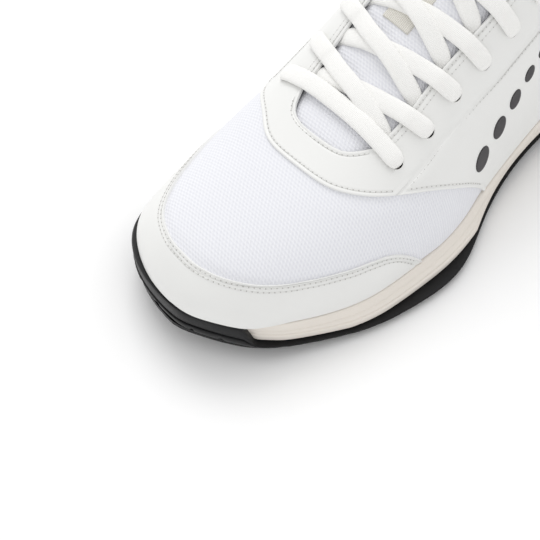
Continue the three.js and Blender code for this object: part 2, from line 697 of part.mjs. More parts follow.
// Stations where the lace turns down through an eyelet: over the stay, through the hole and back under it.
const archRadius = 0.31 * ballWidth; // of the upper across the eyelets, which a flat lace bridges
const laceRise = laceWidth ** 2 / (8 * archRadius);
const laceClearance = 0.8;
const overDepth = -(laceThickness / 2 + laceClearance + laceRise);
const underDepth = meshDepth + mesh + laceThickness / 2 + laceClearance + laceRise;
function eyeletTurn(row, k) {
    const [u, angle] = eyeletPlace(row, k);
    const inward = k === 0 ? 1 : -1;
    const degreesPerMm = 1 / upperPoint(u, angle).distanceTo(upperPoint(u, angle + 1));
    const place = (mm, depth, width, thick = laceThickness) => {
        const at = upperPoint(u, angle + inward * mm * degreesPerMm, depth);
        const along = upperPoint(u + 0.003, angle, 0).sub(upperPoint(u - 0.003, angle, 0)).normalize();
        return { at, up: upperNormal(u, angle * degrees), across: along, width, thick };
    };
    return [place(7.5, overDepth, laceWidth), place(3.4, overDepth, laceWidth),
        place(1.1, overDepth + 0.1, laceBundle + 1), place(0, 0.3, laceBundle, 1.9),
        place(0, meshDepth + mesh, laceBundle, 1.9), place(1.2, underDepth, laceBundle + 1),
        place(3.6, underDepth, laceWidth)];
}

// The open run over the tongue from under one arm to over the other, one row further up.
function crossing(row, from) {
    const to = 1 - from;
    const start = eyeletPlace(row, from)[0];
    const end = eyeletPlace(row + 1, to)[0];
    const lift = from === 0 ? laceThickness + 0.45 : 0;
    const level = tongueCrown - laceThickness / 2 - 1.8;
    const edge = (u, k, beyond) => throatLine[k](u) + (k === 0 ? beyond : -beyond);
    const place = (share, angle, depth) => {
        const u = lerp(start, end, share);
        return { at: upperPoint(u, angle, depth), up: upperNormal(u, angle * degrees), width: laceWidth,
            thick: laceThickness };
    };
    const middle = (u) => (throatLine[0](u) + throatLine[1](u)) / 2;
    const near = lerp(start, end, 0.2);
    const far = lerp(start, end, 0.82);
    const centre = middle(lerp(start, end, 0.5));
    const side = from === 0 ? -1 : 1;
    return [place(0.1, edge(near, from, 0), underDepth), place(0.2, edge(near, from, 5), level + 0.7),
        place(0.36, centre + side * 9, level - lift * 0.6), place(0.5, centre, level - lift),
        place(0.64, centre - side * 9, level - lift), place(0.8, edge(far, to, 3), overDepth - 0.1)];
}

// From the bottom bar up one side's start; the strand changes side at each row.
function strand(first) {
    const stations = [];
    let k = first;
    for (let row = 0; row < eyeletRows; row += 1) {
        stations.push(...eyeletTurn(row, k));
        if (row < eyeletRows - 1) stations.push(...crossing(row, k));
        k = 1 - k;
    }
    return stations;
}

const knotU = 0.612;
const knotAngle = 82;
const knotDepth = -1.2;
const knotCentre = upperPoint(knotU, knotAngle, knotDepth);
const knotUp = upperNormal(knotU, knotAngle * degrees);

// After the last eyelet each end comes out of the throat and runs to the knot.
function strandTail(k) {
    const [u] = eyeletPlace(eyeletRows - 1, k);
    const edge = throatLine[k](u) + (k === 0 ? 1 : -1);
    const inner = k === 0 ? 1 : -1;
    const place = (uu, angle, depth, width) => ({ at: upperPoint(uu, angle, depth),
        up: upperNormal(uu, angle * degrees), width, thick: laceThickness });
    return [place(u, edge, underDepth, laceWidth), place(u + 0.002, edge + inner * 7, 3.4, laceWidth * 0.8),
        place(knotU - 0.016, knotAngle - inner * 6, 1.2, laceBundle)];
}

function lacedPart() {
    const bar = [0.25, 0.5, 0.75].map((share) => {
        const u = lerp(eyeletPlace(0, 0)[0], eyeletPlace(0, 1)[0], share);
        const angle = lerp(throatLine[0](u), throatLine[1](u), share);
        return { at: upperPoint(u, angle, overDepth + 0.2), up: upperNormal(u, angle * degrees),
            width: laceWidth, thick: laceThickness };
    });
    const lastSide = (first) => (eyeletRows % 2 === 0 ? 1 - first : first);
    const fromLateral = strand(0).concat(strandTail(lastSide(0)));
    const fromMedial = strand(1).concat(strandTail(lastSide(1)));
    return laceBody([...fromLateral.reverse(), ...bar, ...fromMedial]);
}
addGeometry('lace', 'laceTextile', lacedPart());

// The knot is a small flattened ball of lace.
function knot() {
    const pillow = new THREE.SphereGeometry(1, 10, 8);
    pillow.scale(5.4, 5, 3.4);
    const turn = new THREE.Quaternion().setFromUnitVectors(new THREE.Vector3(0, 0, 1), knotUp);
    pillow.applyQuaternion(turn);
    pillow.translate(...knotCentre.toArray());
    pillow.deleteAttribute('normal');
    pillow.deleteAttribute('uv');
    const corners = pillow.toNonIndexed().getAttribute('position');
    const points = Array.from({ length: corners.count }, (_, i) =>
        new THREE.Vector3().fromBufferAttribute(corners, i));
    return closedBody(points, points.map((_, i) => i));
}
addGeometry('lace_knot', 'laceTextile', knot());

// Stations along a hand-laid route: the section swells from the bundle at the knot to the flat lace.
function routeStations(route, [coreX, coreZ]) {
    return route.map((place, i) => {
        const at = new THREE.Vector3(...place);
        const up = new THREE.Vector3(at.x - coreX, 0, at.z - coreZ).normalize();
        const share = smooth(i / 3);
        const thick = lerp(bundleThickness, laceThickness, share);
        return { at, up, width: lerp(laceBundle, laceWidth, share), thick };
    });
}

// Free ends of the lace, from the knot down each side of the upper; the aglets carry on in line.
const lateralEnd = [[6.4, 46.2, 116.2], [10.5, 47, 114.6], [15.5, 47.5, 111], [20.5, 47.5, 105.5],
    [24.8, 47.5, 98.6], [28.4, 47.5, 89.5], [31.2, 47.6, 79], [33.6, 47.8, 68], [35.2, 48.2, 57],
    [36, 48.8, 47]];
const medialEnd = [[-3, 46.2, 117.6], [-8, 47, 119.6], [-14, 47.5, 119.4], [-20, 47.5, 116.6],
    [-25, 47.5, 111], [-29, 47.5, 103], [-32.6, 47.5, 93.4], [-35.6, 47.6, 82.5], [-37.8, 47.8, 71],
    [-39.2, 48.2, 60], [-40, 48.8, 50]];
const lateralLoop = [[8.4, 50.4, 121.4], [14.5, 51.4, 118.2], [21, 52.6, 111.6], [26.6, 54.2, 102],
    [30.6, 55.8, 91], [33, 57.2, 80], [34.6, 59, 72], [35.4, 62, 67.4], [35.2, 66, 69], [33.8, 68, 76],
    [31.8, 67, 85], [29.3, 64.6, 94.6], [25.5, 61.4, 104.2], [20, 58, 113.6], [14, 55, 120.4],
    [8, 53.4, 124]];
const medialLoop = [[-4.8, 50.6, 122.6], [-11, 51.8, 123.2], [-18.5, 53, 120.6], [-25.8, 54.2, 113.8],
    [-31, 55.2, 103.6], [-34.8, 56.8, 93.4], [-37.3, 58.4, 83], [-38.9, 60.4, 75.4], [-39.8, 64, 71],
    [-39.6, 68, 72.6], [-38.7, 70, 78.6], [-37.3, 69, 87.4], [-34, 66.4, 97.4], [-29, 63, 108],
    [-23, 60, 117], [-16.5, 57, 123.4], [-10, 54.6, 125.8], [-4, 53.4, 125.6]];

// The flat side of the lace faces away from a line along the shoe, given by its x and z.
const endsFace = [0, 80];
const loopsFace = [0, 40];
const loopWidth = laceWidth - 1.1;
const loopThickness = laceThickness + 0.3;

function freeLace(route) {
    return laceBody(routeStations(route, endsFace));
}

// A loop narrows to the bundle at both ends.
function bowLoop(route) {
    const stations = routeStations(route, loopsFace);
    const last = stations.length - 1;
    stations.forEach((station, i) => {
        const share = smooth(Math.min(i, last - i) / 3);
        station.width = lerp(laceBundle, loopWidth, share);
        station.thick = lerp(bundleThickness, loopThickness, share);
    });
    return laceBody(stations);
}
addGeometry('lace_loop_lateral', 'laceTextile', bowLoop(lateralLoop));
addGeometry('lace_loop_medial', 'laceTextile', bowLoop(medialLoop));
addGeometry('lace_end_lateral', 'laceTextile', freeLace(lateralEnd));
addGeometry('lace_end_medial', 'laceTextile', freeLace(medialEnd));

// An aglet is a stiff round tip in line with the last stretch of its lace end.
const agletLength = 20;
const agletRadius = 1.8;
function aglet(route) {
    const [before, end] = route.slice(-2).map((place) => new THREE.Vector3(...place));
    const along = end.clone().sub(before).normalize();
    const tip = new THREE.CylinderGeometry(agletRadius * 0.8, agletRadius, agletLength, 10);
    tip.applyQuaternion(new THREE.Quaternion().setFromUnitVectors(new THREE.Vector3(0, 1, 0), along));
    tip.translate(...end.addScaledVector(along, agletLength / 2 + fitGap).toArray());
    return tip;
}
addGeometry('aglet_lateral', 'aglet', aglet(lateralEnd));
addGeometry('aglet_medial', 'aglet', aglet(medialEnd));

// The lace keeper is a ribbon strap sewn along the middle of the tongue.
const keeperThickness = 0.6;
addGeometry('lace_keeper', 'ribbon', sheet(8, 3, (s, t, face) =>
    tonguePoint(lerp(0.34, 0.56, s), lerp(0.49, 0.66, t), -fitGap - (1 - face) * keeperThickness)));

// Round film dots on the quarters, shrinking towards the heel.
const dots = [[0.478, 13, 5.2], [0.508, 15, 4.6], [0.534, 17, 4], [0.557, 19, 3.4], [0.577, 21, 2.8]];
function filmDot(u, angle, radius) {
    const alongStep = upperPoint(u + 0.005, angle).distanceTo(upperPoint(u - 0.005, angle)) / 0.01;
    const overStep = upperPoint(u, angle + 1).distanceTo(upperPoint(u, angle - 1)) / 2;
    const point = (ring, turn, depth) => upperPoint(u + ring * radius * Math.cos(turn) / alongStep,
        angle + ring * radius * Math.sin(turn) / overStep, depth);
    const rings = [[0, -fitGap - filmThickness], [1, -fitGap - filmThickness], [1, -fitGap], [0, -fitGap]];
    return loft(rings.map(([ring, depth]) =>
        Array.from({ length: 12 }, (_, i) => point(ring, i * Math.PI / 6, depth))), { ring: true });
}
dots.forEach(([u, angle, radius], i) => {
    addGeometry(`side_dot_lateral_${i + 1}`, 'charcoalFilm', filmDot(u, angle, radius));
    addGeometry(`side_dot_medial_${i + 1}`, 'charcoalFilm', filmDot(u, 180 - angle, radius));
});

export default group;
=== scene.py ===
import math
import bmesh
import bpy
import numpy as np
from mathutils import Matrix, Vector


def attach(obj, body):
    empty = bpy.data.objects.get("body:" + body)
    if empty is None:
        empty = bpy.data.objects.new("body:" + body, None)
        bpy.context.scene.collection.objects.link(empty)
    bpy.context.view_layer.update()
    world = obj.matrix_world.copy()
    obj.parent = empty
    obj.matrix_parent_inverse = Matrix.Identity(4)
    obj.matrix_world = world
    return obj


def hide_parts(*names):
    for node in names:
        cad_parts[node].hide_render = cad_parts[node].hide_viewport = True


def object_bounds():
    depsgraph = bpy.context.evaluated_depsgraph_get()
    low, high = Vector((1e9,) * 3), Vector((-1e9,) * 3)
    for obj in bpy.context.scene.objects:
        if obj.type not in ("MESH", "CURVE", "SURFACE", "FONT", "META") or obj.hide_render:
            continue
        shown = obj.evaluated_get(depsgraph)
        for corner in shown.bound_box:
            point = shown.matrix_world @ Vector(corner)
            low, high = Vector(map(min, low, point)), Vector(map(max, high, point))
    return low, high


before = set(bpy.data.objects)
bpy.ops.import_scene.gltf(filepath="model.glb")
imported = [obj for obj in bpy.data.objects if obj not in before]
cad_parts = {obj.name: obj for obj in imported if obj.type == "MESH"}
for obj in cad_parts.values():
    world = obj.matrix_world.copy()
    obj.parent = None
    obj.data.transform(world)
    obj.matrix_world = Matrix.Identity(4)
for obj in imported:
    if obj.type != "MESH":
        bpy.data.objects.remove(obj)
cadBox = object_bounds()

# A left court shoe: the toe points along -Y, +X is its outer side. Shapes are worked out in millimetres.
mm = 0.001
scene = bpy.context.scene
print("frame loaded:", len(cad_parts), "nodes")

# ---------- numbers along the shoe ----------


def smooth(share):
    # 0 up to 0, 1 from 1 on, and 3t^2 - 2t^3 between
    t = np.clip(share, 0, 1)
    return t * t * (3 - 2 * t)


def mix(low, high, share):
    return low + (high - low) * share


def table(*rows):
    # a monotone cubic through (position, value) rows, with harmonic-mean slopes
    x, y = np.array(rows, float).T
    step = np.diff(x)
    rise = np.diff(y) / step
    slope = np.zeros(len(x))
    both = rise[:-1] * rise[1:]
    total = np.where(both > 0, rise[:-1] + rise[1:], 1)
    slope[1:-1] = np.where(both > 0, 2 * both / total, 0)
    slope[0], slope[-1] = rise[0], rise[-1]

    def read(position):
        p = np.clip(position, x[0], x[-1])
        i = np.clip(np.searchsorted(x, p, side="right") - 1, 0, len(x) - 2)
        t = (p - x[i]) / step[i]
        start = (1 + 2 * t) * (1 - t) ** 2 * y[i] + t * (1 - t) ** 2 * step[i] * slope[i]
        return start + t * t * (3 - 2 * t) * y[i + 1] + t * t * (t - 1) * step[i] * slope[i + 1]
    return read


def unit(vectors):
    return vectors / np.maximum(np.linalg.norm(vectors, axis=-1, keepdims=True), 1e-9)


shoe = {
    "length": (cadBox[1].y - cadBox[0].y) / mm, "ball": 117, "waist": 70, "heel": 78,
    "toeBox": 35, "instep": 77, "top": 101, "toeSpring": 13, "springLength": 74,
    "bumperWall": 3, "waistRaise": 3, "ballFloor": 11.5, "heelRise": 12,
    "rim": 3.5, "heelRim": 2, "rimWidth": 6.6, "flare": 3, "heelSetback": 3, "featherInset": 0.8,
}
half = shoe["length"] / 2
soleHeel = half - shoe["heelSetback"]
innerToe = half - shoe["bumperWall"] - 0.3
rimHeel = half - 1.5
upperToe = innerToe - 0.9
upperHeel = rimHeel - 1.5


def planSides(ball, waist, heel):
    # rows of (u, lateral, medial) shares of the width that rules there, as two outlines
    parts = ((ball, shoe["ball"]), (waist, shoe["waist"]), (heel, shoe["heel"]))
    rows = sorted((u, a * width, b * width) for part, width in parts for u, a, b in part)
    return [table(*[(u, a) for u, a, b in rows]), table(*[(u, b) for u, a, b in rows])]


outsoleSide = planSides(
    [(0, -0.013, -0.013), (0.08, 0.098, -0.235), (0.16, 0.261, -0.4), (0.24, 0.363, -0.474),
     (0.32, 0.462, -0.5), (0.4, 0.5, -0.474)], [(0.5, 0.56, -0.62), (0.6, 0.46, -0.51)],
    [(0.7, 0.44, -0.53), (0.8, 0.41, -0.53), (0.9, 0.25, -0.37), (1, -0.058, -0.058)])
rimSide = planSides(
    [(0, -0.013, -0.013), (0.08, 0.098, -0.2), (0.16, 0.245, -0.365), (0.24, 0.346, -0.438),
     (0.32, 0.415, -0.466), (0.4, 0.426, -0.456)], [(0.5, 0.571, -0.676), (0.6, 0.486, -0.536)],
    [(0.7, 0.436, -0.519), (0.8, 0.397, -0.513), (0.9, 0.224, -0.346), (1, -0.058, -0.058)])


def easedSides(sides):
    # each outline averaged over a short stretch, reading the other one past the toe and the heel
    shifts = np.array([-0.036, -0.018, 0, 0.018, 0.036])
    weights = np.array([1, 4, 6, 4, 1])

    def read(u, k):
        total = 0.0
        for shift, weight in zip(shifts, weights):
            near = np.asarray(u, float) + shift
            past = (near < 0) | (near > 1)
            other = sides[1 - k](np.where(near < 0, -near, 2 - near))
            total = total + weight * np.where(past, other, sides[k](near))
        return total / weights.sum()
    return [lambda u: read(u, 0), lambda u: read(u, 1)]


outsoleSide = easedSides(outsoleSide)
rimSide = easedSides(rimSide)


def stationY(u, toeReach, heelReach):
    # half a cosine wave from the toe at u = 0 to the heel at u = 1
    c = np.cos(np.pi * np.asarray(u, float))
    return -c * np.where(c > 0, toeReach, heelReach)


def upperStation(y):
    return np.arccos(np.clip(-y / np.where(y < 0, upperToe, upperHeel), -1, 1)) / np.pi


def spring(y):
    # the toe lifts off the ground as a square law
    return shoe["toeSpring"] * np.clip((shoe["springLength"] - half - y) / shoe["springLength"], 0, 1.2) ** 2


def groundZ(y):
    return spring(y) + shoe["waistRaise"] * smooth((y + 12) / 30) * smooth((62 - y) / 30)


def heelShare(y):
    return smooth((y + 35) / 160)


def floorZ(y):
    return shoe["ballFloor"] + spring(y) + shoe["heelRise"] * heelShare(y)


def rimZ(y):
    return floorZ(y) + shoe["rim"] + shoe["heelRim"] * heelShare(y)


crown = table((0, 0), (0.08, 17), (0.16, 27), (0.24, shoe["toeBox"]), (0.32, 41.5), (0.4, 52),
              (0.5, shoe["instep"]), (0.6, 97), (0.7, shoe["top"]), (0.8, 99), (1, 96))
ridge = table((0, 0), (0.3, -5), (0.55, -5), (0.75, 0), (1, 0))
squareness = [table((0, 2.3), (0.5, 2.3), (0.7, 2.4), (1, 2.4)),
              table((0, 2.3), (0.25, 2.15), (0.5, 2.7), (0.7, 2.4), (1, 2.4))]


def upperForm(u):
    # the feather edge's outer and inner side, the ridge between them, and the height they start from
    inset = shoe["featherInset"] * np.sin(np.pi * u)
    lateral, medial = rimSide[0](u) - inset, rimSide[1](u) + inset
    return lateral, medial, (lateral + medial) / 2 + ridge(u), rimZ(stationY(u, upperToe, upperHeel)) + 0.4


def bareUpper(u, angle):
    # each cross-section is a half superellipse from feather edge to feather edge, leaning with the ridge;
    # behind u = 0.78 the heel curve shifts it along the shoe by height
    lateral, medial, middle, base = upperForm(u)
    across = np.cos(angle)
    power = 2 / np.where(across > 0, squareness[0](u), squareness[1](u))
    reach = np.where(across > 0, lateral - middle, middle - medial)
    x = middle + np.sign(across) * np.abs(across) ** power * reach
    rise = crown(u) * np.abs(np.sin(angle)) ** power
    share = rise / 60
    heelCurve = 2.5 * np.sin(np.pi * np.clip(share, 0, 1)) - 4 * share * share
    y = stationY(u, upperToe, upperHeel) + smooth((u - 0.78) / 0.2) * heelCurve
    return np.stack([x, y, base + rise], -1)


def upperNormal(u, angle):
    # the cross product of a small step along the shoe and one over it
    un = np.clip(u, 0.004, 0.996)
    an = np.clip(angle, 0.02, np.pi - 0.02)
    along = bareUpper(un + 0.002, an) - bareUpper(un - 0.002, an)
    over = bareUpper(un, an + 0.01) - bareUpper(un, an - 0.01)
    normal = unit(np.cross(along, over))
    normal = np.where((u < 0.0005)[..., None], np.array([0.0, -1, 0]), normal)
    return unit(np.where((u > 0.9995)[..., None], normal * np.array([0.0, 1, 1]), normal))


def upperPoint(u, angle, depth=0.0):
    # depth below the outer face of the upper, square to it; the angle is in degrees
    u, angle, depth = np.broadcast_arrays(*(np.asarray(value, float) for value in (u, angle, depth)))
    turn = np.radians(angle)
    return bareUpper(u, turn) - upperNormal(u, turn) * depth[..., None]


def stationOf(w):
    # w runs round the heel: below 1 is the outer side, above 1 the inner one
    return np.where(w <= 1, w, 2 - w)


def wrapPoint(w, angle, depth=0.0):
    # the same surface read round the heel
    w = np.asarray(w, float)
    return upperPoint(stationOf(w), np.where(w <= 1, angle, 180 - angle), depth)


def angleAtHeight(w, z):
    # the cross-section's rise, crown times sine to a power, solved for the angle
    u = stationOf(w)
    power = np.where(w <= 1, squareness[0](u), squareness[1](u))
    share = np.clip((z - upperForm(u)[3]) / crown(u), 0, 1)
    return np.degrees(np.arcsin(share ** (power / 2)))


# pattern lines of the upper: (angle, u) or (u, angle)
toeCapLine = table((0, 0.377), (18, 0.34), (25, 0.296), (28, 0.241), (36, 0.185), (44, 0.155),
                   (57, 0.128), (76, 0.114), (94, 0.118), (122, 0.158), (131, 0.211), (138, 0.259),
                   (152, 0.315), (180, 0.365))
frontLine = table((0, 0.476), (18, 0.435), (31, 0.405), (40, 0.379), (50, 0.352), (58, 0.338), (66, 0.326),
                  (80, 0.32), (92, 0.319), (102, 0.324), (117, 0.347), (127, 0.358), (140, 0.375),
                  (160, 0.425), (180, 0.465))
throatStart, throatEnd, seamEnd, heelSeam = 0.386, 0.61, 0.655, 0.82
toplineGap = 0.9  # degrees that the panels, pads and lining stop short of the topline
throatFrontLine = table((65, throatStart), (73, 0.363), (80, 0.358), (90, 0.356), (102, 0.365),
                        (106, throatStart))
throatLine = [table((throatStart, 65), (0.444, 62), (0.5, 56), (0.548, 52), (0.62, 50)),
              table((throatStart, 106), (0.444, 107), (0.5, 105), (0.56, 106), (0.62, 110))]
seamLine = [table((throatStart, 42), (0.421, 42), (0.478, 36), (0.529, 31), (0.578, 29), (seamEnd, 32)),
            table((throatStart, 140), (0.42, 140), (0.478, 143), (0.53, 146), (0.578, 149), (seamEnd, 148))]
eyeletLine = [table((0.391, 53), (0.43, 50), (0.467, 47), (0.508, 42), (0.548, 39), (0.589, 38)),
              table((0.384, 125), (0.453, 124), (0.52, 126), (0.6, 130))]
toplineHeight = table((0.61, 98), (0.65, 84), (0.69, 74), (0.74, 69), (0.8, 68), (0.87, 72),
                      (0.94, 80.5), (0.98, 84.8), (1, 85.4), (1.02, 84.8))


def easedLine(read, low, high, reach):
    # a pattern line averaged over a short stretch; past either end it goes on as its own mirror
    def eased(position):
        total = 0.0
        for share, weight in ((-1, 1), (-0.5, 4), (0, 6), (0.5, 4), (1, 1)):
            near = position + share * reach
            value = np.where(near < low, 2 * read(low) - read(2 * low - near), read(near))
            total = total + weight * np.where(near > high, 2 * read(high) - read(2 * high - near), value)
        return total / 16
    return eased


toeCapLine = easedLine(toeCapLine, 0, 180, 7)
frontLine = easedLine(frontLine, 0, 180, 9)
throatFrontLine = easedLine(throatFrontLine, 65, 106, 5)


def toplineZ(w):
    return toplineHeight(stationOf(w))


def toplineAngle(w):
    return angleAtHeight(w, toplineZ(w))


def collarBulge(w, z):
    # the padded collar swells inwards by up to 5 mm, halfway down its 26 mm
    inside = np.clip((toplineZ(w) - z) / 26, 0, 1)
    return 5 * np.sin(np.pi * inside) * smooth((stationOf(w) - seamEnd) / 0.07)


# ---------- materials ----------

class Wire:
    # a socket that adds, multiplies and compares by adding Math nodes
    def __init__(self, paint, socket):
        self.paint, self.socket = paint, socket

    def math(self, operation, other=0.0, third=None):
        inputs = [self, other] if third is None else [self, other, third]
        return self.paint.node("ShaderNodeMath", {"operation": operation}, dict(enumerate(inputs)))

    def __add__(self, other):
        return self.math("ADD", other)

    def __sub__(self, other):
        return self.math("SUBTRACT", other)

    def __mul__(self, other):
        return self.math("MULTIPLY", other)

    def __rsub__(self, other):
        return self.math("MULTIPLY_ADD", -1.0, other)

    __radd__ = __add__
    __rmul__ = __mul__

    def sine(self):
        return self.math("SINE")

    def bounded(self):
        return self.paint.node("ShaderNodeClamp", {}, {"Value": self})


class Paint:
    # one material: a Principled shader and the nodes that feed it
    def __init__(self, name, rough=0.5, coat=0.0, sheen=0.0, ior=1.45):
        self.material = bpy.data.materials.new(name)
        self.material.use_nodes = True
        self.tree = self.material.node_tree
        self.shader = self.tree.nodes["Principled BSDF"]
        fixed = {"Roughness": rough, "Coat Weight": coat, "Sheen Weight": sheen, "IOR": ior}
        for key, value in fixed.items():
            self.shader.inputs[key].default_value = value

    def node(self, kind, settings, inputs, output=0):
        made = self.tree.nodes.new(kind)
        stops = settings.pop("stops", None)
        for key, value in settings.items():
            setattr(made, key, value)
        if stops:
            ramp = made.color_ramp.elements
            while len(ramp) < len(stops):
                ramp.new(0.5)
            for element, (place, colour) in zip(ramp, stops):
                element.position, element.color = place, colour
        for key, value in inputs.items():
            if isinstance(value, Wire):
                self.tree.links.new(value.socket, made.inputs[key])
            else:
                made.inputs[key].default_value = value
        return Wire(self, made.outputs[output])

    def place(self, scale=(1, 1, 1), turn=0.0, uv=False):
        if uv:
            source = self.node("ShaderNodeUVMap", {"uv_map": "cloth"}, {})
        else:
            source = self.node("ShaderNodeTexCoord", {}, {}, "Object")
        inputs = {"Vector": source, "Scale": scale, "Rotation": (0, 0, turn)}
        return self.node("ShaderNodeMapping", {}, inputs)

    def split(self, vector):
        made = self.node("ShaderNodeSeparateXYZ", {}, {"Vector": vector})
        return [Wire(self, output) for output in made.socket.node.outputs]

    def noise(self, scale, detail=3.0, uv=False, stretch=(1, 1, 1)):
        where = self.place(stretch, uv=uv)
        return self.node("ShaderNodeTexNoise", {}, {"Vector": where, "Scale": scale, "Detail": detail})

    def tint(self, share, low, high):
        return self.node("ShaderNodeMix", {"data_type": "RGBA"}, {0: share, 6: (*low, 1), 7: (*high, 1)}, 2)

    def feed(self, key, value):
        self.tree.links.new(value.socket, self.shader.inputs[key])

    def bump(self, height, distance, strength=1.0):
        inputs = {"Height": height, "Distance": distance, "Strength": strength}
        self.feed("Normal", self.node("ShaderNodeBump", {}, inputs))


finish = {
    "leather": {"low": (0.80, 0.80, 0.785), "high": (0.84, 0.84, 0.825), "rough": 0.42, "grain": 0.00006},
    "mesh": {"gap": (0.735, 0.74, 0.79), "thread": (0.865, 0.87, 0.90), "along": 1.6, "over": 3.3,
             "turn": -25},
    "knit": {"gap": (0.66, 0.65, 0.63), "thread": (0.86, 0.855, 0.83), "pitch": 0.9},
    "lace": {"gap": (0.87, 0.862, 0.842), "thread": (0.965, 0.96, 0.94), "pitch": 1.3},
    "ribbon": {"gap": (0.70, 0.67, 0.60), "thread": (0.86, 0.84, 0.78), "pitch": 0.8},
    "foam": {"low": (0.775, 0.722, 0.66), "high": (0.85, 0.80, 0.735)},
    "rubber": {"low": (0.006, 0.006, 0.0065), "high": (0.013, 0.013, 0.014)},
    "film": {"low": (0.020, 0.017, 0.020), "high": (0.028, 0.024, 0.028)},
}


def makeLeather():
    # smooth coated leather: faint clouds and a fine cell grain
    look = finish["leather"]
    paint = Paint("whiteLeather", look["rough"], coat=0.04)
    cloud = paint.noise(35)
    paint.feed("Base Color", paint.tint(cloud, look["low"], look["high"]))
    paint.feed("Roughness", cloud * 0.10 + (look["rough"] - 0.05))
    cells = paint.node("ShaderNodeTexVoronoi", {"feature": "DISTANCE_TO_EDGE"},
                       {"Vector": paint.place(), "Scale": 1400.0})
    paint.bump(cells * 0.8 + paint.noise(420, 4) * 0.6, look["grain"], 0.5)
    return paint.material


def makeMesh():
    # staggered humps in rows that run a little askew of the shoe
    look = finish["mesh"]
    paint = Paint("whiteMesh", 0.8, sheen=0.1)
    x, y, _ = paint.split(paint.place(uv=True, turn=math.radians(look["turn"])))
    wobble = paint.noise(260, 2, uv=True) * 0.9
    first = (x * (2 * math.pi / (look["along"] * mm)) + wobble).sine()
    second = (y * (2 * math.pi / (look["over"] * mm)) + wobble).sine()
    height = (first * second * 0.5 + 0.5).bounded()
    fuzz = paint.noise(1300, 3, uv=True)
    paint.feed("Base Color", paint.tint((height * 0.8 + fuzz * 0.3).bounded(), look["gap"], look["thread"]))
    paint.bump(height + fuzz * 0.3, 0.0003, 0.6)
    return paint.material


def makeKnit():
    # small staggered loops
    look = finish["knit"]
    paint = Paint("whiteKnit", 0.9, sheen=0.2)
    k = 2 * math.pi / (look["pitch"] * mm)
    x, y, _ = paint.split(paint.place(uv=True))
    height = ((x * k).sine() * (y * (k * 0.7)).sine() * 0.5 + 0.5).bounded()
    fuzz = paint.noise(700, 3, uv=True)
    paint.feed("Base Color", paint.tint((height * 0.7 + fuzz * 0.5).bounded(), look["gap"], look["thread"]))
    paint.bump(height + fuzz * 0.4, 0.0003, 0.6)
    return paint.material


def makeLaceCloth():
    # a flat braid: chevrons that meet along the middle of the lace
    look = finish["lace"]
    paint = Paint("laceCloth", 0.85, sheen=0.25)
    k = 2 * math.pi / (look["pitch"] * mm)
    x, y, _ = paint.split(paint.place(uv=True))
    side = y.math("ABSOLUTE")
    chevron = ((x + side) * k).sine() * ((x - side) * k).sine()
    height = (chevron * 0.4 + 0.5).bounded()
    fuzz = paint.noise(1100, 3, uv=True)
    paint.feed("Base Color", paint.tint((height * 0.6 + fuzz * 0.6).bounded(), look["gap"], look["thread"]))
    paint.bump(height + fuzz * 0.5, 0.0003, 0.6)
    return paint.material


def makeRibbon():
    # a woven ribbon with ribs across it
    look = finish["ribbon"]
    paint = Paint("ribbonCloth", 0.85, sheen=0.15)
    k = 2 * math.pi / (look["pitch"] * mm)
    x, y, _ = paint.split(paint.place(uv=True))
    height = ((y * k).sine() * 0.42 + (x * (k * 2)).sine() * 0.08 + 0.5).bounded()
    paint.feed("Base Color", paint.tint(height, look["gap"], look["thread"]))
    paint.bump(height, 0.0004, 0.7)
    return paint.material


def makeFoam():
    # cream moulded foam with faint streaks along the shoe
    look = finish["foam"]
    paint = Paint("creamFoam", 0.62)
    streak = paint.noise(55, 4, stretch=(1, 0.12, 1.6))
    paint.feed("Base Color", paint.tint(streak, look["low"], look["high"]))
    paint.feed("Roughness", streak * 0.12 + 0.56)
    paint.bump(paint.noise(900, 3), 0.00012, 0.4)
    return paint.material


def makeRubber():
    # black rubber, cloudy and finely scuffed
    look = finish["rubber"]
    paint = Paint("blackRubber", 0.42, ior=1.3)
    cloud = paint.noise(60, 4)
    scuff = paint.noise(600, 4)
    paint.feed("Base Color", paint.tint(cloud, look["low"], look["high"]))
    paint.feed("Roughness", cloud * 0.16 + scuff * 0.12 + 0.26)
    paint.bump(scuff, 0.0001, 0.35)
    return paint.material


# clouds of two close colours for the small and hidden parts
def makePlain(name, low, high, rough, scale=200.0, bump=0.00008):
    paint = Paint(name, rough)
    cloud = paint.noise(scale, 4)
    paint.feed("Base Color", paint.tint(cloud, low, high))
    paint.feed("Roughness", cloud * 0.1 + (rough - 0.05))
    paint.bump(cloud, bump, 0.4)
    return paint.material


leather = makeLeather()
meshCloth = makeMesh()
knitCloth = makeKnit()
laceCloth = makeLaceCloth()
ribbonCloth = makeRibbon()
creamFoam = makeFoam()
blackRubber = makeRubber()
charcoalFilm = makePlain("charcoalFilm", finish["film"]["low"], finish["film"]["high"], 0.38, 300.0, 0.00003)
threadCotton = makePlain("threadCotton", (0.74, 0.74, 0.72), (0.82, 0.82, 0.80), 0.75, 900.0)
# grey for the needle holes: painted shade inside the holes
needleHoleShade = makePlain("needleHoleShade", (0.47, 0.465, 0.45), (0.58, 0.57, 0.55), 0.9, 900.0)
# near-black tape colour: painted shade for the eyelets' insides and the gap under the stay's edge
paintedShadeTape = makePlain("paintedShadeTape", (0.012, 0.012, 0.012), (0.03, 0.03, 0.03), 0.9, 700.0)
fibreBoard = makePlain("fibreBoard", (0.42, 0.40, 0.36), (0.52, 0.50, 0.46), 0.85, 500.0)
shankPlastic = makePlain("shankPlastic", (0.03, 0.032, 0.04), (0.05, 0.055, 0.065), 0.45)
agletSleeve = makePlain("agletSleeve", (0.78, 0.79, 0.79), (0.84, 0.85, 0.85), 0.2, 400.0, 0.00002)
padFoam = makePlain("padFoam", (0.72, 0.68, 0.55), (0.80, 0.77, 0.66), 0.95, 900.0, 0.0002)
print("materials made")

# ---------- meshes ----------


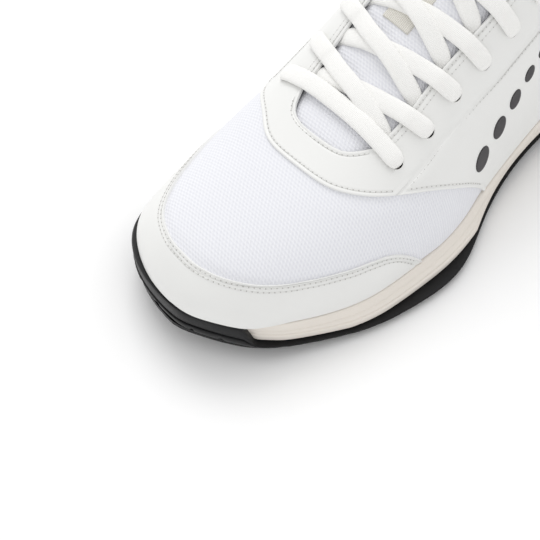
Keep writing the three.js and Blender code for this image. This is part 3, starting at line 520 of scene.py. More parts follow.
def quads(ids):
    # the four-cornered faces of a grid of point numbers, or of a stack of such grids
    corners = [ids[..., :-1, :-1], ids[..., :-1, 1:], ids[..., 1:, 1:], ids[..., 1:, :-1]]
    return np.stack(corners, -1).reshape(-1, 4)


def tubeFaces(grid):
    # the faces of rings of points, where the last point of each ring meets the first
    ids = np.arange(grid[..., 0].size).reshape(grid.shape[:-1])
    return quads(np.concatenate([ids, ids[..., :1]], -1))


def runAlong(points):
    # running length along a line of points
    return np.concatenate([[0], np.cumsum(np.linalg.norm(np.diff(points, axis=0), axis=1))])


def buildPiece(name, points, faces, material, cloth=None, crease=38, merge=1e-6):
    # points in millimetres become one mesh at the origin; faces are turned outwards by the signed volume
    a, b, c = (points[faces[:, i]] for i in range(3))
    d = points[faces[:, -1]]
    volume = (a * (np.cross(b, c) + np.cross(c, d))).sum()
    if volume < 0:
        faces = faces[:, ::-1]
    mesh = bpy.data.meshes.new(name)
    mesh.from_pydata((points * mm).tolist(), [], faces.tolist())
    if cloth is not None:
        layer = mesh.uv_layers.new(name="cloth")
        corner = np.zeros(len(mesh.loops), np.int32)
        mesh.loops.foreach_get("vertex_index", corner)
        layer.data.foreach_set("uv", (cloth[corner] * mm).astype(np.float32).ravel())
    if merge:
        work = bmesh.new()
        work.from_mesh(mesh)
        bmesh.ops.remove_doubles(work, verts=work.verts, dist=merge)
        work.to_mesh(mesh)
        work.free()
    mesh.materials.append(material)
    mesh.shade_smooth()
    mesh.set_sharp_from_angle(angle=math.radians(crease))
    piece = bpy.data.objects.new(name, mesh)
    scene.collection.objects.link(piece)
    return piece


def arcLengths(grid, axis):
    # running length along one direction of a grid of points
    step = np.linalg.norm(np.diff(grid, axis=axis), axis=-1)
    pad = [(1, 0) if i == axis else (0, 0) for i in range(2)]
    return np.cumsum(np.pad(step, pad), axis=axis)


def footCloth(u, angle):
    # where the weave lies: the run along the ridge, and the way round the section from it, outer side above 0
    steps = np.linspace(0, 1, 17)
    turn = np.radians(90 + (angle[..., None] - 90) * steps)
    path = bareUpper(np.broadcast_to(u[..., None], turn.shape), turn)
    around = np.linalg.norm(np.diff(path, axis=-2), axis=-1).sum(-1) * np.sign(90 - angle)
    ridgeU = np.linspace(0, 1, 240)
    run = runAlong(bareUpper(ridgeU, np.full(ridgeU.shape, np.pi / 2)))
    return np.stack([np.interp(u, ridgeU, run), around], -1)


def shellPiece(name, outer, inner, material, crease=38, cloth=None):
    # a sheet between two grids of the same shape, closed round its border
    rows, columns = outer.shape[:2]
    ids = np.arange(rows * columns).reshape(rows, columns)
    under = ids + rows * columns
    border = np.concatenate([ids[0, :-1], ids[:-1, -1], ids[-1, :0:-1], ids[:0:-1, 0]])
    below = border + rows * columns
    side = np.stack([np.roll(border, -1), border, below, np.roll(below, -1)], -1)
    faces = np.concatenate([quads(ids), quads(under)[:, ::-1], side])
    points = np.concatenate([outer.reshape(-1, 3), inner.reshape(-1, 3)])
    if cloth is None:
        cloth = np.stack([arcLengths(outer, 0), -arcLengths(outer, 1)], -1)
    cloth = cloth.reshape(-1, 2)
    return buildPiece(name, points, faces, material, np.concatenate([cloth, cloth]), crease)


def ringPiece(name, rings, material, crease=38, closeEnds=True):
    # closed rings joined one to the next; the end rings are folded onto their middle line
    if closeEnds:
        rings = np.concatenate([[foldRing(rings[0])], rings, [foldRing(rings[-1])]])
    return buildPiece(name, rings.reshape(-1, 3), tubeFaces(rings), material, None, crease, 2e-6)


def foldRing(ring):
    # each point moved halfway to its mate across the ring
    return (ring + np.roll(ring[::-1], 1, axis=0)) / 2


def settle(piece, body, slot, *nodes):
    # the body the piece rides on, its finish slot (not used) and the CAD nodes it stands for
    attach(piece, body)
    if nodes:
        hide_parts(*nodes)
    return piece


def curveThrough(rows, perSpan):
    # a smooth curve through rows of numbers, spaced by the square root of the chord of their first three
    chord = np.linalg.norm(np.diff(rows[:, :3], axis=0), axis=1) ** 0.5
    chord = np.maximum(chord, 1e-4)
    rate = np.diff(rows, axis=0) / chord[:, None]
    slope = np.zeros_like(rows)
    ahead, behind = chord[1:, None], chord[:-1, None]
    slope[1:-1] = (rate[1:] * behind + rate[:-1] * ahead) / (ahead + behind)
    slope[0], slope[-1] = rate[0], rate[-1]
    t = np.linspace(0, 1, perSpan, endpoint=False)[None, :, None]
    p, q = rows[:-1, None], rows[1:, None]
    m, n = slope[:-1, None] * chord[:, None, None], slope[1:, None] * chord[:, None, None]
    curve = (1 + 2 * t) * (1 - t) ** 2 * p + t * (1 - t) ** 2 * m
    curve = curve + t * t * (3 - 2 * t) * q + t * t * (t - 1) * n
    return np.concatenate([curve.reshape(-1, rows.shape[1]), rows[-1:]])


def ribbonPiece(name, centre, across, width, thick, material, sides=16):
    # a flat section with rounded edges swept along the centre line; its ends close in over 0.9 mm
    tangent = unit(np.gradient(centre, axis=0))
    across = unit(across - tangent * (across * tangent).sum(-1, keepdims=True))
    face = np.cross(tangent, across)
    lap = np.linspace(0, 2 * np.pi, sides, endpoint=False)
    flat = np.sign(np.cos(lap)) * np.abs(np.cos(lap)) ** 0.8
    tall = np.sign(np.sin(lap)) * np.abs(np.sin(lap)) ** 0.97
    distance = runAlong(centre)
    end = np.minimum(distance, distance[-1] - distance)
    taper = np.sqrt(np.clip(1 - (1 - np.clip(end / 0.9, 0, 1)) ** 2, 0.0, 1))
    rings = centre[:, None] + across[:, None] * (flat[None] * (width * taper)[:, None] / 2)[..., None] \
        + face[:, None] * (tall[None] * (thick * taper)[:, None] / 2)[..., None]
    cloth = np.stack(np.broadcast_arrays(distance[:, None], flat[None] * width[:, None] / 2), -1)
    return buildPiece(name, rings.reshape(-1, 3), tubeFaces(rings), material, cloth.reshape(-1, 2), 60)


def stitchPiece(name, runs, length=1.75, radius=0.22, pitch=2.3):
    # a thread capsule at every pitch along each run of (points, normals), with a grey dent between them as
    # painted shade of a needle hole
    capsules, shadeDents = [], []
    for points, normals in runs:
        distance = runAlong(points)

        def read(rows, at):
            return np.stack([np.interp(at, distance, rows[:, i]) for i in range(3)], -1)
        at = np.arange(pitch / 2, distance[-1], pitch)
        for store, where in ((capsules, at), (shadeDents, at + pitch / 2)):
            along = unit(read(points, where + 0.4) - read(points, where - 0.4))
            store.append((read(points, where), along, unit(read(normals, where))))
    thread = capsuleGrid(capsules, np.array([-1, -0.8, 0, 0.8, 1]) * length / 2,
                         np.array([0, 0.75, 1, 0.75, 0]), radius, 0.7)
    # the grey dents between the stitches are painted shade of the needle holes
    hole = capsuleGrid(shadeDents, np.array([-1, -0.6, 0.6, 1]) * 0.3, np.array([0, 1, 1, 0]), 0.27, 0.5)
    for title, part, material, slot in ((name, thread, threadCotton, "lace"),
                                        (name + "Holes", hole, needleHoleShade, "leather")):
        made = buildPiece(title, part.reshape(-1, 3), tubeFaces(part), material, crease=180)
        settle(made, "shoe", slot)


def capsuleGrid(groups, stations, swell, radius, flatness):
    # every capsule at once: rings of a few points round its own line
    middle, along, up = (np.concatenate([g[i] for g in groups]) for i in range(3))
    side = unit(np.cross(up, along))
    up = np.cross(along, side)
    lap = np.linspace(0, 2 * np.pi, 6, endpoint=False)
    spread = swell[:, None] * radius
    return middle[:, None, None] + along[:, None, None] * stations[None, :, None, None] \
        + side[:, None, None] * (spread * np.cos(lap))[None, :, :, None] \
        + up[:, None, None] * (spread * np.sin(lap) * flatness)[None, :, :, None]


# ---------- camera, floor and light ----------

view = {"place": (0.5551218, -0.5171823, 0.9530131), "turn": 52.738, "tilt": 36.2748, "roll": -6.6697,
        "lens": 188.236}


def makeCamera():
    # tilted up from straight down, then turned about the vertical; the roll is about its own line of sight
    data = bpy.data.cameras.new("camera")
    data.lens = view["lens"]
    data.clip_end = 20
    camera = bpy.data.objects.new("camera", data)
    turn, tilt, roll = (Matrix.Rotation(math.radians(view[key]), 4, axis)
                        for key, axis in (("turn", "Z"), ("tilt", "X"), ("roll", "Z")))
    camera.matrix_world = Matrix.Translation(view["place"]) @ turn @ tilt @ roll
    scene.collection.objects.link(camera)
    scene.camera = camera


studio = {"world": 0.83, "floor": (0.965, 0.965, 0.965),
          "lamps": (("key", 27.0, 1.6, (-1.5, 0.9, 2.4)), ("top", 6.0, 2.0, (-0.1, 0.1, 2.5)))}


def makeStudio():
    # white surroundings, a pale floor and two soft square lamps that face the shoe
    scene.view_settings.view_transform = "Standard"
    world = bpy.data.worlds.new("studio")
    world.use_nodes = True
    world.node_tree.nodes["Background"].inputs["Color"].default_value = (1, 1, 1, 1)
    world.node_tree.nodes["Background"].inputs["Strength"].default_value = studio["world"]
    scene.world = world
    mesh = bpy.data.meshes.new("floor")
    mesh.from_pydata([(-3, -3, 0), (3, -3, 0), (3, 3, 0), (-3, 3, 0)], [], [(0, 1, 2, 3)])
    floor = bpy.data.objects.new("floor", mesh)
    mesh.materials.append(makePlain("floorPaper", (0.96, 0.96, 0.96), studio["floor"], 0.9, 3.0, 0.00001))
    scene.collection.objects.link(floor)
    for name, power, size, spot in studio["lamps"]:
        light = bpy.data.lights.new(name, "AREA")
        light.energy, light.size = power, size
        lamp = bpy.data.objects.new(name, light)
        direction = unit(np.array(spot))
        side = unit(np.cross([0, 0, 1.0], direction))
        turned = np.eye(4)
        turned[:3, 0], turned[:3, 1], turned[:3, 2] = side, np.cross(direction, side), direction
        turned[:3, 3] = spot
        lamp.matrix_world = Matrix(turned.tolist())
        scene.collection.objects.link(lamp)


makeCamera()
makeStudio()
print("camera, floor and light placed")

# ---------- lace ----------

lace = {"width": 8.1, "thick": 2.9, "endWidth": 7.9, "endThick": 2.3, "bundle": 4.6, "rows": 6,
        "firstMargin": 2.8, "lastMargin": 9.2, "level": 0.4, "underDepth": 3.7, "hole": 2.7}

# the free ends and the loops of the bow, as listed points, in metres
lateralEnd = [(0.0064, 0.0462, 0.1162), (0.0105, 0.047, 0.1146), (0.0155, 0.0475, 0.111),
              (0.0205, 0.0475, 0.1055), (0.0248, 0.0475, 0.0986), (0.0284, 0.0475, 0.0895),
              (0.0312, 0.0476, 0.079), (0.0336, 0.0478, 0.068), (0.0352, 0.0482, 0.057),
              (0.036, 0.0488, 0.047)]
medialEnd = [(-0.003, 0.0462, 0.1176), (-0.008, 0.047, 0.1196), (-0.014, 0.0475, 0.1194),
             (-0.02, 0.0475, 0.1166), (-0.025, 0.0475, 0.111), (-0.029, 0.0475, 0.103),
             (-0.0326, 0.0475, 0.0934), (-0.0356, 0.0476, 0.0825), (-0.0378, 0.0478, 0.071),
             (-0.0392, 0.0482, 0.06), (-0.04, 0.0488, 0.05)]
lateralLoop = [(0.0084, 0.0504, 0.1214), (0.0145, 0.0514, 0.1182), (0.021, 0.0526, 0.1116),
               (0.0266, 0.0542, 0.102), (0.0306, 0.0558, 0.091), (0.033, 0.0572, 0.08),
               (0.0346, 0.059, 0.072), (0.0354, 0.062, 0.0674), (0.0352, 0.066, 0.069),
               (0.0338, 0.068, 0.076), (0.0318, 0.067, 0.085), (0.0293, 0.0646, 0.0946),
               (0.0255, 0.0614, 0.1042), (0.02, 0.058, 0.1136), (0.014, 0.055, 0.1204),
               (0.008, 0.0534, 0.124)]
medialLoop = [(-0.0048, 0.0506, 0.1226), (-0.011, 0.0518, 0.1232), (-0.0185, 0.053, 0.1206),
              (-0.0258, 0.0542, 0.1138), (-0.031, 0.0552, 0.1036), (-0.0348, 0.0568, 0.0934),
              (-0.0373, 0.0584, 0.083), (-0.0389, 0.0604, 0.0754), (-0.0398, 0.064, 0.071),
              (-0.0396, 0.068, 0.0726), (-0.0387, 0.07, 0.0786), (-0.0373, 0.069, 0.0874),
              (-0.034, 0.0664, 0.0974), (-0.029, 0.063, 0.108), (-0.023, 0.06, 0.117),
              (-0.0165, 0.057, 0.1234), (-0.01, 0.0546, 0.1258), (-0.004, 0.0534, 0.1256)]


def layRoute(route, core, ends):
    # the flat side faces away from a line along the shoe; the section grows from the bundle at the knot
    points = np.array(route) / mm
    away = unit(np.stack([points[:, 0] - core[0], points[:, 0] * 0, points[:, 2] - core[1]], -1))
    tangent = unit(np.gradient(points, axis=0))
    across = unit(np.cross(away, tangent))
    count = np.arange(len(points))
    near = np.minimum(count, len(points) - 1 - count) if ends == 2 else count
    share = smooth(near / 3)
    width = mix(lace["bundle"] - 1, lace["endWidth"] - 0.3 * ends, share)
    thick = mix(2, lace["endThick"] - 0.5, share)
    return curveThrough(np.column_stack([points, across, width, thick]), 8)


def makeFreeEnd(name, route, node, tipNode):
    rows = layRoute(route, (0, 80), 1)
    end = ribbonPiece(name, rows[:, :3], rows[:, 3:6], rows[:, 6], rows[:, 7], laceCloth)
    settle(end, "shoe", "lace", node)
    tip = makeAglet(name.replace("End", "Aglet"), rows[-6:, :3])
    settle(tip, "shoe", "aglet", tipNode)


def makeAglet(name, tail):
    # a sleeve turned about the line of the lace: rounded lip, slight taper, two crimp rings
    along = unit(tail[-1] - tail[0])
    side = unit(np.cross(along, [0, 1.0, 0]))
    face = np.cross(along, side)
    reach = np.array([-3, -3, -2.8, 1, 1.6, 2.2, 10, 10.5, 11, 19.6, 20.2, 20.3])
    radius = np.array([0, 1.85, 2, 1.95, 1.75, 1.92, 1.8, 1.65, 1.78, 1.6, 1.3, 0])
    lap = np.linspace(0, 2 * np.pi, 24, endpoint=False)
    spread = side * np.cos(lap)[:, None] * 1.05 + face * np.sin(lap)[:, None] * 0.9
    rings = tail[-1] + along * reach[:, None, None] + spread[None] * radius[:, None, None]
    return ringPiece(name, rings, agletSleeve, 30, False)


def laceHole(row, k):
    # holes at even steps along the shoe, from the throat's front to its top, on side k
    first = stationY(throatStart, upperToe, upperHeel) + lace["firstMargin"]
    last = stationY(throatEnd, upperToe, upperHeel) - lace["lastMargin"]
    u = float(upperStation(mix(first, last, row / (lace["rows"] - 1))))
    return np.array([u, float(eyeletLine[k](u))])


def station(start, end, reach, depth, width, thick):
    # a row of the lace's path: so many millimetres from one hole on the way to another, and the way it runs
    way = end - start
    span = np.linalg.norm(upperPoint(*end) - upperPoint(*start))
    return [*(start + way * reach / span), depth, width, thick, *way]


def throughHole(hole, came, goes):
    # over the stay, down through the hole close to its far rim, and back under the stay
    width, thick = lace["width"], lace["thick"]
    over = -(thick / 2 + 0.12)
    bundle, under = lace["bundle"], lace["underDepth"]
    above = [(6.5, over, width, thick), (3.6, over, width, thick), (1.9, over + 0.12, width - 0.3, thick),
             (0.5, over + 0.6, width - 1.0, thick), (-0.55, over + 1.7, width - 2.4, thick - 0.3),
             (-0.9, 1.6, bundle, 2.0), (-0.5, 2.9, bundle, 1.8)]
    below = [(1.2, under, bundle + 1, 1.7), (4.5, under, width - 2, 1.7)]
    return [station(hole, came, *row) for row in above] + [station(hole, goes, *row) for row in below]


def overTongue(start, end, k):
    # out from under one arm, across the tongue and up over the other arm's edge
    width, thick = lace["width"], lace["thick"]
    lift = thick - 0.4 if k == 0 else 0
    level = lace["level"]
    span = np.linalg.norm(upperPoint(*end) - upperPoint(*start))
    leave = (throatLine[k](start[0]) - start[1]) / (end[1] - start[1]) * span
    arrive = (throatLine[1 - k](end[0]) - start[1]) / (end[1] - start[1]) * span
    rows = [(leave - 0.5, 2.5, width - 1.6, 2.0), (leave + 3.5, level + 0.8, width - 0.3, thick - 0.4),
            (span * 0.4, level - lift * 0.75, width, thick), (span * 0.5, level - lift, width, thick),
            (span * 0.6, level - lift * 0.8, width, thick), (arrive - 3.0, -thick / 2 + 0.45, width, thick),
            (arrive + 0.5, -(thick / 2 + 0.25), width, thick)]
    return [station(start, end, *row) for row in rows]


knot = {"u": 0.612, "angle": 82, "depth": -1.2, "size": (6.2, 5.4, 4.2)}


def toKnot(hole, k):
    # from under the last hole's arm up to the knot
    end = np.array([knot["u"] - 0.012, knot["angle"] - (4 if k == 0 else -4)])
    span = np.linalg.norm(upperPoint(*end) - upperPoint(*hole))
    leave = (throatLine[k](hole[0]) - hole[1]) / (end[1] - hole[1]) * span
    rows = [(leave, 2.5, lace["width"] - 2, 2.0), (leave + 4, 0.9, lace["width"] - 2, 2.3),
            (span, 0.4, lace["bundle"], 2.4)]
    return [station(hole, end, *row) for row in rows]


def makeLacing():
    # one strand from the knot down one side, across the bottom bar and up the other
    def strand(k):
        # row by row from the first hole up to the knot, changing sides each time
        here, came = laceHole(0, k), laceHole(0, 1 - k)
        rows = []
        for row in range(lace["rows"]):
            last = row == lace["rows"] - 1
            goes = np.array([knot["u"], knot["angle"]]) if last else laceHole(row + 1, 1 - k)
            rows += throughHole(here, came, goes) + (toKnot(here, k) if last else overTongue(here, goes, k))
            here, came, k = goes, here, 1 - k
        return rows
    outer, inner = laceHole(0, 0), laceHole(0, 1)
    span = np.linalg.norm(upperPoint(*outer) - upperPoint(*inner))
    width, thick = lace["width"], lace["thick"]
    rest = -thick / 2 - 0.1
    bar = [station(outer, inner, span * share, depth, width, thick)
           for share, depth in ((0.26, rest), (0.38, -1.2), (0.5, -1.0), (0.62, -1.2), (0.74, rest))]
    stations = np.array(strand(0)[::-1] + bar + strand(1))
    u, angle, depth, width, thick, uWay, angleWay = stations.T
    points = upperPoint(u, angle, depth)
    normal = upperNormal(u, np.radians(angle))
    uStep, angleStep = uWay * 0.01, angleWay * 0.01
    way = upperPoint(u + uStep, angle + angleStep) - upperPoint(u - uStep, angle - angleStep)
    across = unit(np.cross(normal, way))
    turned = np.cumprod(np.concatenate([[1], np.sign((across[1:] * across[:-1]).sum(-1))]))
    rows = curveThrough(np.column_stack([points, across * turned[:, None], width, thick]), 6)
    piece = ribbonPiece("lacing", rows[:, :3], rows[:, 3:6], rows[:, 6], rows[:, 7], laceCloth, 20)
    settle(piece, "shoe", "lace", "lace")


def makeKnot():
    # a pillow whose radius is pinched along two wraps that cross over it
    centre = upperPoint(knot["u"], knot["angle"], knot["depth"])
    up = upperNormal(np.array(knot["u"]), np.radians(knot["angle"]))
    side = unit(np.cross([0, 1.0, 0], up))
    back = np.cross(up, side)
    turn = np.linspace(0, 2 * np.pi, 72, endpoint=False)[None, :]
    rise = np.linspace(0.001, np.pi - 0.001, 40)[:, None]
    x, y, z = np.sin(rise) * np.cos(turn), np.sin(rise) * np.sin(turn), np.cos(rise) * np.ones_like(turn)
    wrap = 0.16 * np.exp(-(x / 0.34) ** 2) - 0.05 * np.exp(-((np.abs(x) - 0.42) / 0.07) ** 2)
    fold = 0.05 * np.sin(9 * y + 3 * z)
    radius = 1 + wrap + fold * np.abs(x)
    a, b, c = knot["size"]
    points = centre + side * (x * radius * a)[..., None] + back * (y * radius * b)[..., None] \
        + up * (z * radius * c)[..., None]
    cloth = np.stack(np.broadcast_arrays(rise * 9, turn * 4), -1).reshape(-1, 2)
    piece = buildPiece("bowKnot", points.reshape(-1, 3), tubeFaces(points), laceCloth, cloth, 80, 2e-5)
    settle(piece, "shoe", "lace", "lace_knot")


def makeBow():
    # both loops leave the knot and come back to it
    for name, route, node in (("bowLoopLateral", lateralLoop, "lace_loop_lateral"),
                              ("bowLoopMedial", medialLoop, "lace_loop_medial")):
        rows = layRoute(route, (0, 40), 2)
        loop = ribbonPiece(name, rows[:, :3], rows[:, 3:6], rows[:, 6], rows[:, 7] + 0.3, laceCloth)
        settle(loop, "shoe", "lace", node)


makeFreeEnd("laceEndLateral", lateralEnd, "lace_end_lateral", "aglet_lateral")
makeFreeEnd("laceEndMedial", medialEnd, "lace_end_medial", "aglet_medial")
makeLacing()
makeKnot()
makeBow()
print("lace made")

# ---------- sole unit ----------

sole = {"stations": 150, "treadPitch": 7.5, "grooveWidth": 2.3, "grooveDepth": 1.5, "notchPitch": 13.0,
        "notchDepth": 0.9, "midGrooves": (0.36, 0.62), "midGrooveDepth": 0.55}


def soleRing(side, toeReach, heelReach, inset, height):
    # the plan outline moved inwards square to itself; height is a function of (u, side, y)
    u = np.linspace(0, 1, sole["stations"] + 1)
    halves = []
    for k in (0, 1):
        def outline(at):
            return np.stack([side[k](at), stationY(at, toeReach, heelReach)], -1)
        along = unit(outline(np.minimum(u + 0.004, 1)) - outline(np.maximum(u - 0.004, 0)))
        turn = 1 if k == 0 else -1
        inward = np.stack([-turn * along[:, 1], turn * along[:, 0]], -1)
        inward[0], inward[-1] = (0, 1), (0, -1)
        amount = inset(u, k) if callable(inset) else inset
        moved = outline(u) + inward * np.broadcast_to(amount, u.shape)[:, None]
        halves.append(np.column_stack([moved, height(u, k, moved[:, 1])]))
    return np.concatenate([halves[0], halves[1][-2:0:-1]])


def bumperShare(u, k):
    # 1 round the toe, 0 where the outsole is only a thin edge; the outer side drops off sharply
    return smooth((0.157 - u) / 0.02) if k == 0 else smooth((0.305 - u) / 0.1)


def makeOutsole():
    # each row: inset and height of the thin edge, then of the bumper, from the ground up to under the leather
    profile = [
        ((5.0, 1.6), (5.0, 1.6)), ((3.2, 0.0), (3.6, 0.0)), ((2.3, 0.2), (2.7, 0.3)),
        ((1.3, 1.1), (1.5, 1.5)), ((0.5, 2.1), (0.6, 3.0)), ((0.1, 2.8), (0.1, 4.4)),
        ((0.0, 3.0), (0.0, 5.4)), ((0.0, 3.1), (0.1, 6.0)), ((0.05, 3.2), (0.5, 6.3)),
        ((0.1, 3.25), (0.95, 6.5)), ((0.2, 3.3), (0.95, 6.9)), ((0.3, 3.35), (0.45, 7.2)),
        ((0.45, 3.4), (0.3, 8.0)), ((0.6, 3.42), (0.15, 10.5)), ((0.8, 3.44), (0.15, 12.6)),
        ((1.0, 3.46), (0.3, 13.6)), ((1.4, 3.48), (0.8, 14.2)), ((2.0, 3.5), (1.8, 14.4)),
        ((4.0, 3.5), (3.6, 14.4)), ((6.0, 3.5), (4.2, 12.0)),
    ]
    outline = np.linspace(0, 1, sole["stations"] + 1)

    def notch(u, k):
        # small tread openings cut into the foot of the bumper at even steps
        line = np.stack([outsoleSide[k](outline), stationY(outline, half, soleHeel)], -1)
        at = np.interp(u, outline, runAlong(line)) + 3
        away = np.abs((at / sole["notchPitch"] + 0.5) % 1 - 0.5) * sole["notchPitch"]
        return sole["notchDepth"] * smooth((1.2 - away) / 0.5) * mix(0.25, 1, bumperShare(u, k))
    rings = []
    for (thinInset, thinHeight), (fullInset, fullHeight) in profile:
        cut = smooth((fullHeight - 0.8) / 1.2) * smooth((6.0 - fullHeight) / 1.6)
        rings.append(soleRing(
            outsoleSide, half, soleHeel,
            lambda u, k, a=thinInset, b=fullInset, c=cut: mix(a, b, bumperShare(u, k)) + c * notch(u, k),
            lambda u, k, y, a=thinHeight, b=fullHeight: groundZ(y) + mix(a, b, bumperShare(u, k))))
    piece = ringPiece("outsoleRubber", np.array(rings), blackRubber, 40)
    settle(piece, "shoe", "rubber", "outsole")


def makeTread():
    # a plate whose underside is a height field: herringbone grooves, and rings round the turning point
    u = np.linspace(0.012, 0.988, 330)[:, None]
    t = np.linspace(0, 1, 120)[None, :]
    y = stationY(u, half, soleHeel) * np.ones_like(t)
    inset = 2.8
    x = mix(outsoleSide[1](u) + inset, outsoleSide[0](u) - inset, t)
    zigzag = np.abs(((x + 60) / 16) % 2 - 1) * 16
    band = np.abs(((y + zigzag * 0.8) / sole["treadPitch"]) % 1 - 0.5) * sole["treadPitch"]
    reach = np.hypot(x + 16, y + 62)
    rings = np.abs((reach / 6) % 1 - 0.5) * 6
    band = np.where(reach < 24, rings, band)
    waist = smooth((y + 10) / 14) * smooth((64 - y) / 14)
    edge = smooth(np.minimum(t, 1 - t) * (outsoleSide[0](u) - outsoleSide[1](u)) / 2.2)
    cut = smooth((sole["grooveWidth"] / 2 + 0.45 - band) / 0.9) * edge
    lift = sole["grooveDepth"] * np.maximum(cut * (1 - waist), waist * 0.35 * (1 - cut * 0.6))
    under = np.stack([x, y, groundZ(y) + lift], -1)
    top = np.stack([x, y, groundZ(y) + 2.1], -1)
    settle(shellPiece("treadPlate", under, top, blackRubber, 30), "shoe", "rubber")


def flaredSide(k):
    # the foot of the midsole: the rim's outline plus a half sine flare, kept inside the bumper
    def side(u):
        turn = 1 if k == 0 else -1
        flared = rimSide[k](u) + turn * shoe["flare"] * np.sin(np.pi * u) * smooth((u - 0.14) / 0.1)
        limit = outsoleSide[k](u) - turn * mix(1.0, shoe["bumperWall"] + 0.8, bumperShare(u, k))
        return np.minimum(flared, limit) if k == 0 else np.maximum(flared, limit)
    return side


def makeMidsole():
    # the side wall runs from the flared foot to the rim, with two shallow grooves along it
    flared = [flaredSide(0), flaredSide(1)]
    toe = innerToe - 0.3

    def wallSide(share):
        return [lambda u, k=k: mix(flared[k](u), rimSide[k](u), share) for k in (0, 1)]

    def ring(side, inset, height, back=rimHeel):
        return soleRing(side, toe, back, inset, height)
    low = 3.6

    def rimTop(drop, bumperDrop=0.8):
        return lambda u, k, y: rimZ(y) - drop - bumperDrop * bumperShare(u, k)
    rings = [ring(flared, 4, lambda u, k, y: groundZ(y) + low),
             ring(flared, 1.3, lambda u, k, y: groundZ(y) + low),
             ring(flared, 0.5, lambda u, k, y: groundZ(y) + low + 0.5, rimHeel + 0.8)]
    for share in np.linspace(0, 1, 26):
        groove = sum(np.exp(-((share - g) / 0.035) ** 2) for g in sole["midGrooves"]) * sole["midGrooveDepth"]
        wall = wallSide(smooth((share - 0.15) / 0.85))
        crest = 0.25 * math.sin(math.pi * share)
        rings.append(ring(wall, groove - crest,
                          lambda u, k, y, s=share: mix(groundZ(y) + low + 1.2, rimTop(0.9)(u, k, y), s),
                          rimHeel + 1.5 * (1 - smooth(share))))
    rings += [ring(rimSide, 0.15, rimTop(0.4)), ring(rimSide, 0.5, rimTop(0.08)),
              ring(rimSide, 1.1, rimTop(0, 0)), ring(rimSide, shoe["rimWidth"], rimTop(0, 0)),
              ring(rimSide, shoe["rimWidth"] + 0.4, lambda u, k, y: floorZ(y)),
              ring(rimSide, shoe["rimWidth"] + 8, lambda u, k, y: floorZ(y) - 1.6)]
    settle(ringPiece("midsoleFoam", np.array(rings), creamFoam, 55), "shoe", "midsole_foam", "midsole")


def makeInsole():
    # foam with rounded edges, and its quilted cover cloth
    def ring(inset, height):
        return soleRing(rimSide, innerToe, rimHeel, inset, height)

    def level(height):
        return lambda u, k, y: floorZ(y) + height
    inset = shoe["rimWidth"] + 2.6
    foam = [ring(inset + 0.8, level(1.85)), ring(inset, level(2.3)), ring(inset, level(5.0)),
            ring(inset + 0.8, level(5.6)), ring(inset + 6, level(5.7))]
    body = ringPiece("socklinerFoam", np.array(foam), padFoam, 60)
    settle(body, "sockliner", "padding_foam", "sockliner")
    u = np.linspace(0.004, 0.996, 160)[:, None]
    t = np.linspace(0, 1, 60)[None, :]
    y = stationY(u, innerToe - inset, rimHeel - inset) * np.ones_like(t)
    x = mix(rimSide[1](u) + inset, rimSide[0](u) - inset, t)
    edge = smooth(np.minimum(t, 1 - t) * 12)
    quilt = 0.12 * np.sin(x / 2.2) * np.sin(y / 2.2)
    top = np.stack([x, y, floorZ(y) + 6.0 + 0.5 * edge + quilt * edge], -1)
    low = np.stack([x, y, floorZ(y) + 5.75], -1)
    cover = shellPiece("socklinerCloth", top, low, knitCloth)
    settle(cover, "sockliner", "lining_textile", "sockliner_cloth")


makeOutsole()
makeTread()
makeMidsole()
makeInsole()
print("sole unit made")

# ---------- panels of the upper ----------

edgeSteps = np.array([[0, 0.1, 0.25, 0.45, 0.75, 1.1, 1.5, 1.9, 2.3, 2.7, 3.2, 3.8, 4.4, 5.2, 6.2]])


def spacedShares(length, middle, lowEdge=True, highEdge=True):
    # shares from 0 to 1 with fine steps of millimetres close to the edges that show; one row per length
    length = np.atleast_1d(length)[:, None]
    fine = np.minimum(edgeSteps / length, 0.45 * edgeSteps / edgeSteps.max())
    none = np.zeros((len(length), 1))
    lowEnd, highEnd = fine if lowEdge else none, 1 - (fine if highEdge else none)
    between = np.linspace(0, 1, middle + 2)[None, 1:-1]
    between = mix(lowEnd[:, -1:], highEnd[:, -1:], between)
    return np.concatenate([lowEnd, between, highEnd[:, ::-1]], 1)


def edgeDrop(distance, radius=0.45):
    # quarter-round edge: how far the outer face falls away within a radius of the edge
    share = np.clip(distance / radius, 0, 1)
    return radius * (1 - np.sqrt(np.clip(1 - (1 - share) ** 2, 0, 1)))


def seamDip(distance, at, depth=0.28, width=0.55):
    # a bell-shaped groove under a row of stitches
    return depth * np.exp(-((distance - at) / width) ** 2)


def stitchRun(w, angle, lift):
    # a run of points over the panels, lifted off the upper's outer face, with their normals
    w, angle = np.broadcast_arrays(np.asarray(w, float), np.asarray(angle, float))
    turn = np.radians(np.where(w <= 1, angle, 180 - angle))
    return wrapPoint(w, angle, -lift), upperNormal(stationOf(w), turn)


def besideLine(u, angle, distance):
    # the line of (u, angle) moved sideways over the surface by a distance in millimetres
    points = upperPoint(u, angle)
    normal = upperNormal(u, np.radians(angle))
    along = unit(np.gradient(points, axis=0))
    side = np.cross(normal, along)
    uStep = (upperPoint(u + 0.001, angle) - upperPoint(u - 0.001, angle)) / 0.002
    aStep = (upperPoint(u, angle + 0.2) - upperPoint(u, angle - 0.2)) / 0.4
    uu, aa, ua = (uStep * uStep).sum(-1), (aStep * aStep).sum(-1), (uStep * aStep).sum(-1)
    su, sa = (uStep * side).sum(-1), (aStep * side).sum(-1)
    det = uu * aa - ua * ua
    return u + distance * (aa * su - ua * sa) / det, angle + distance * (uu * sa - ua * su) / det


cap = {"lift": 0.35, "under": 1.3, "stitches": (1.4, 3.1), "edge": 0.5}


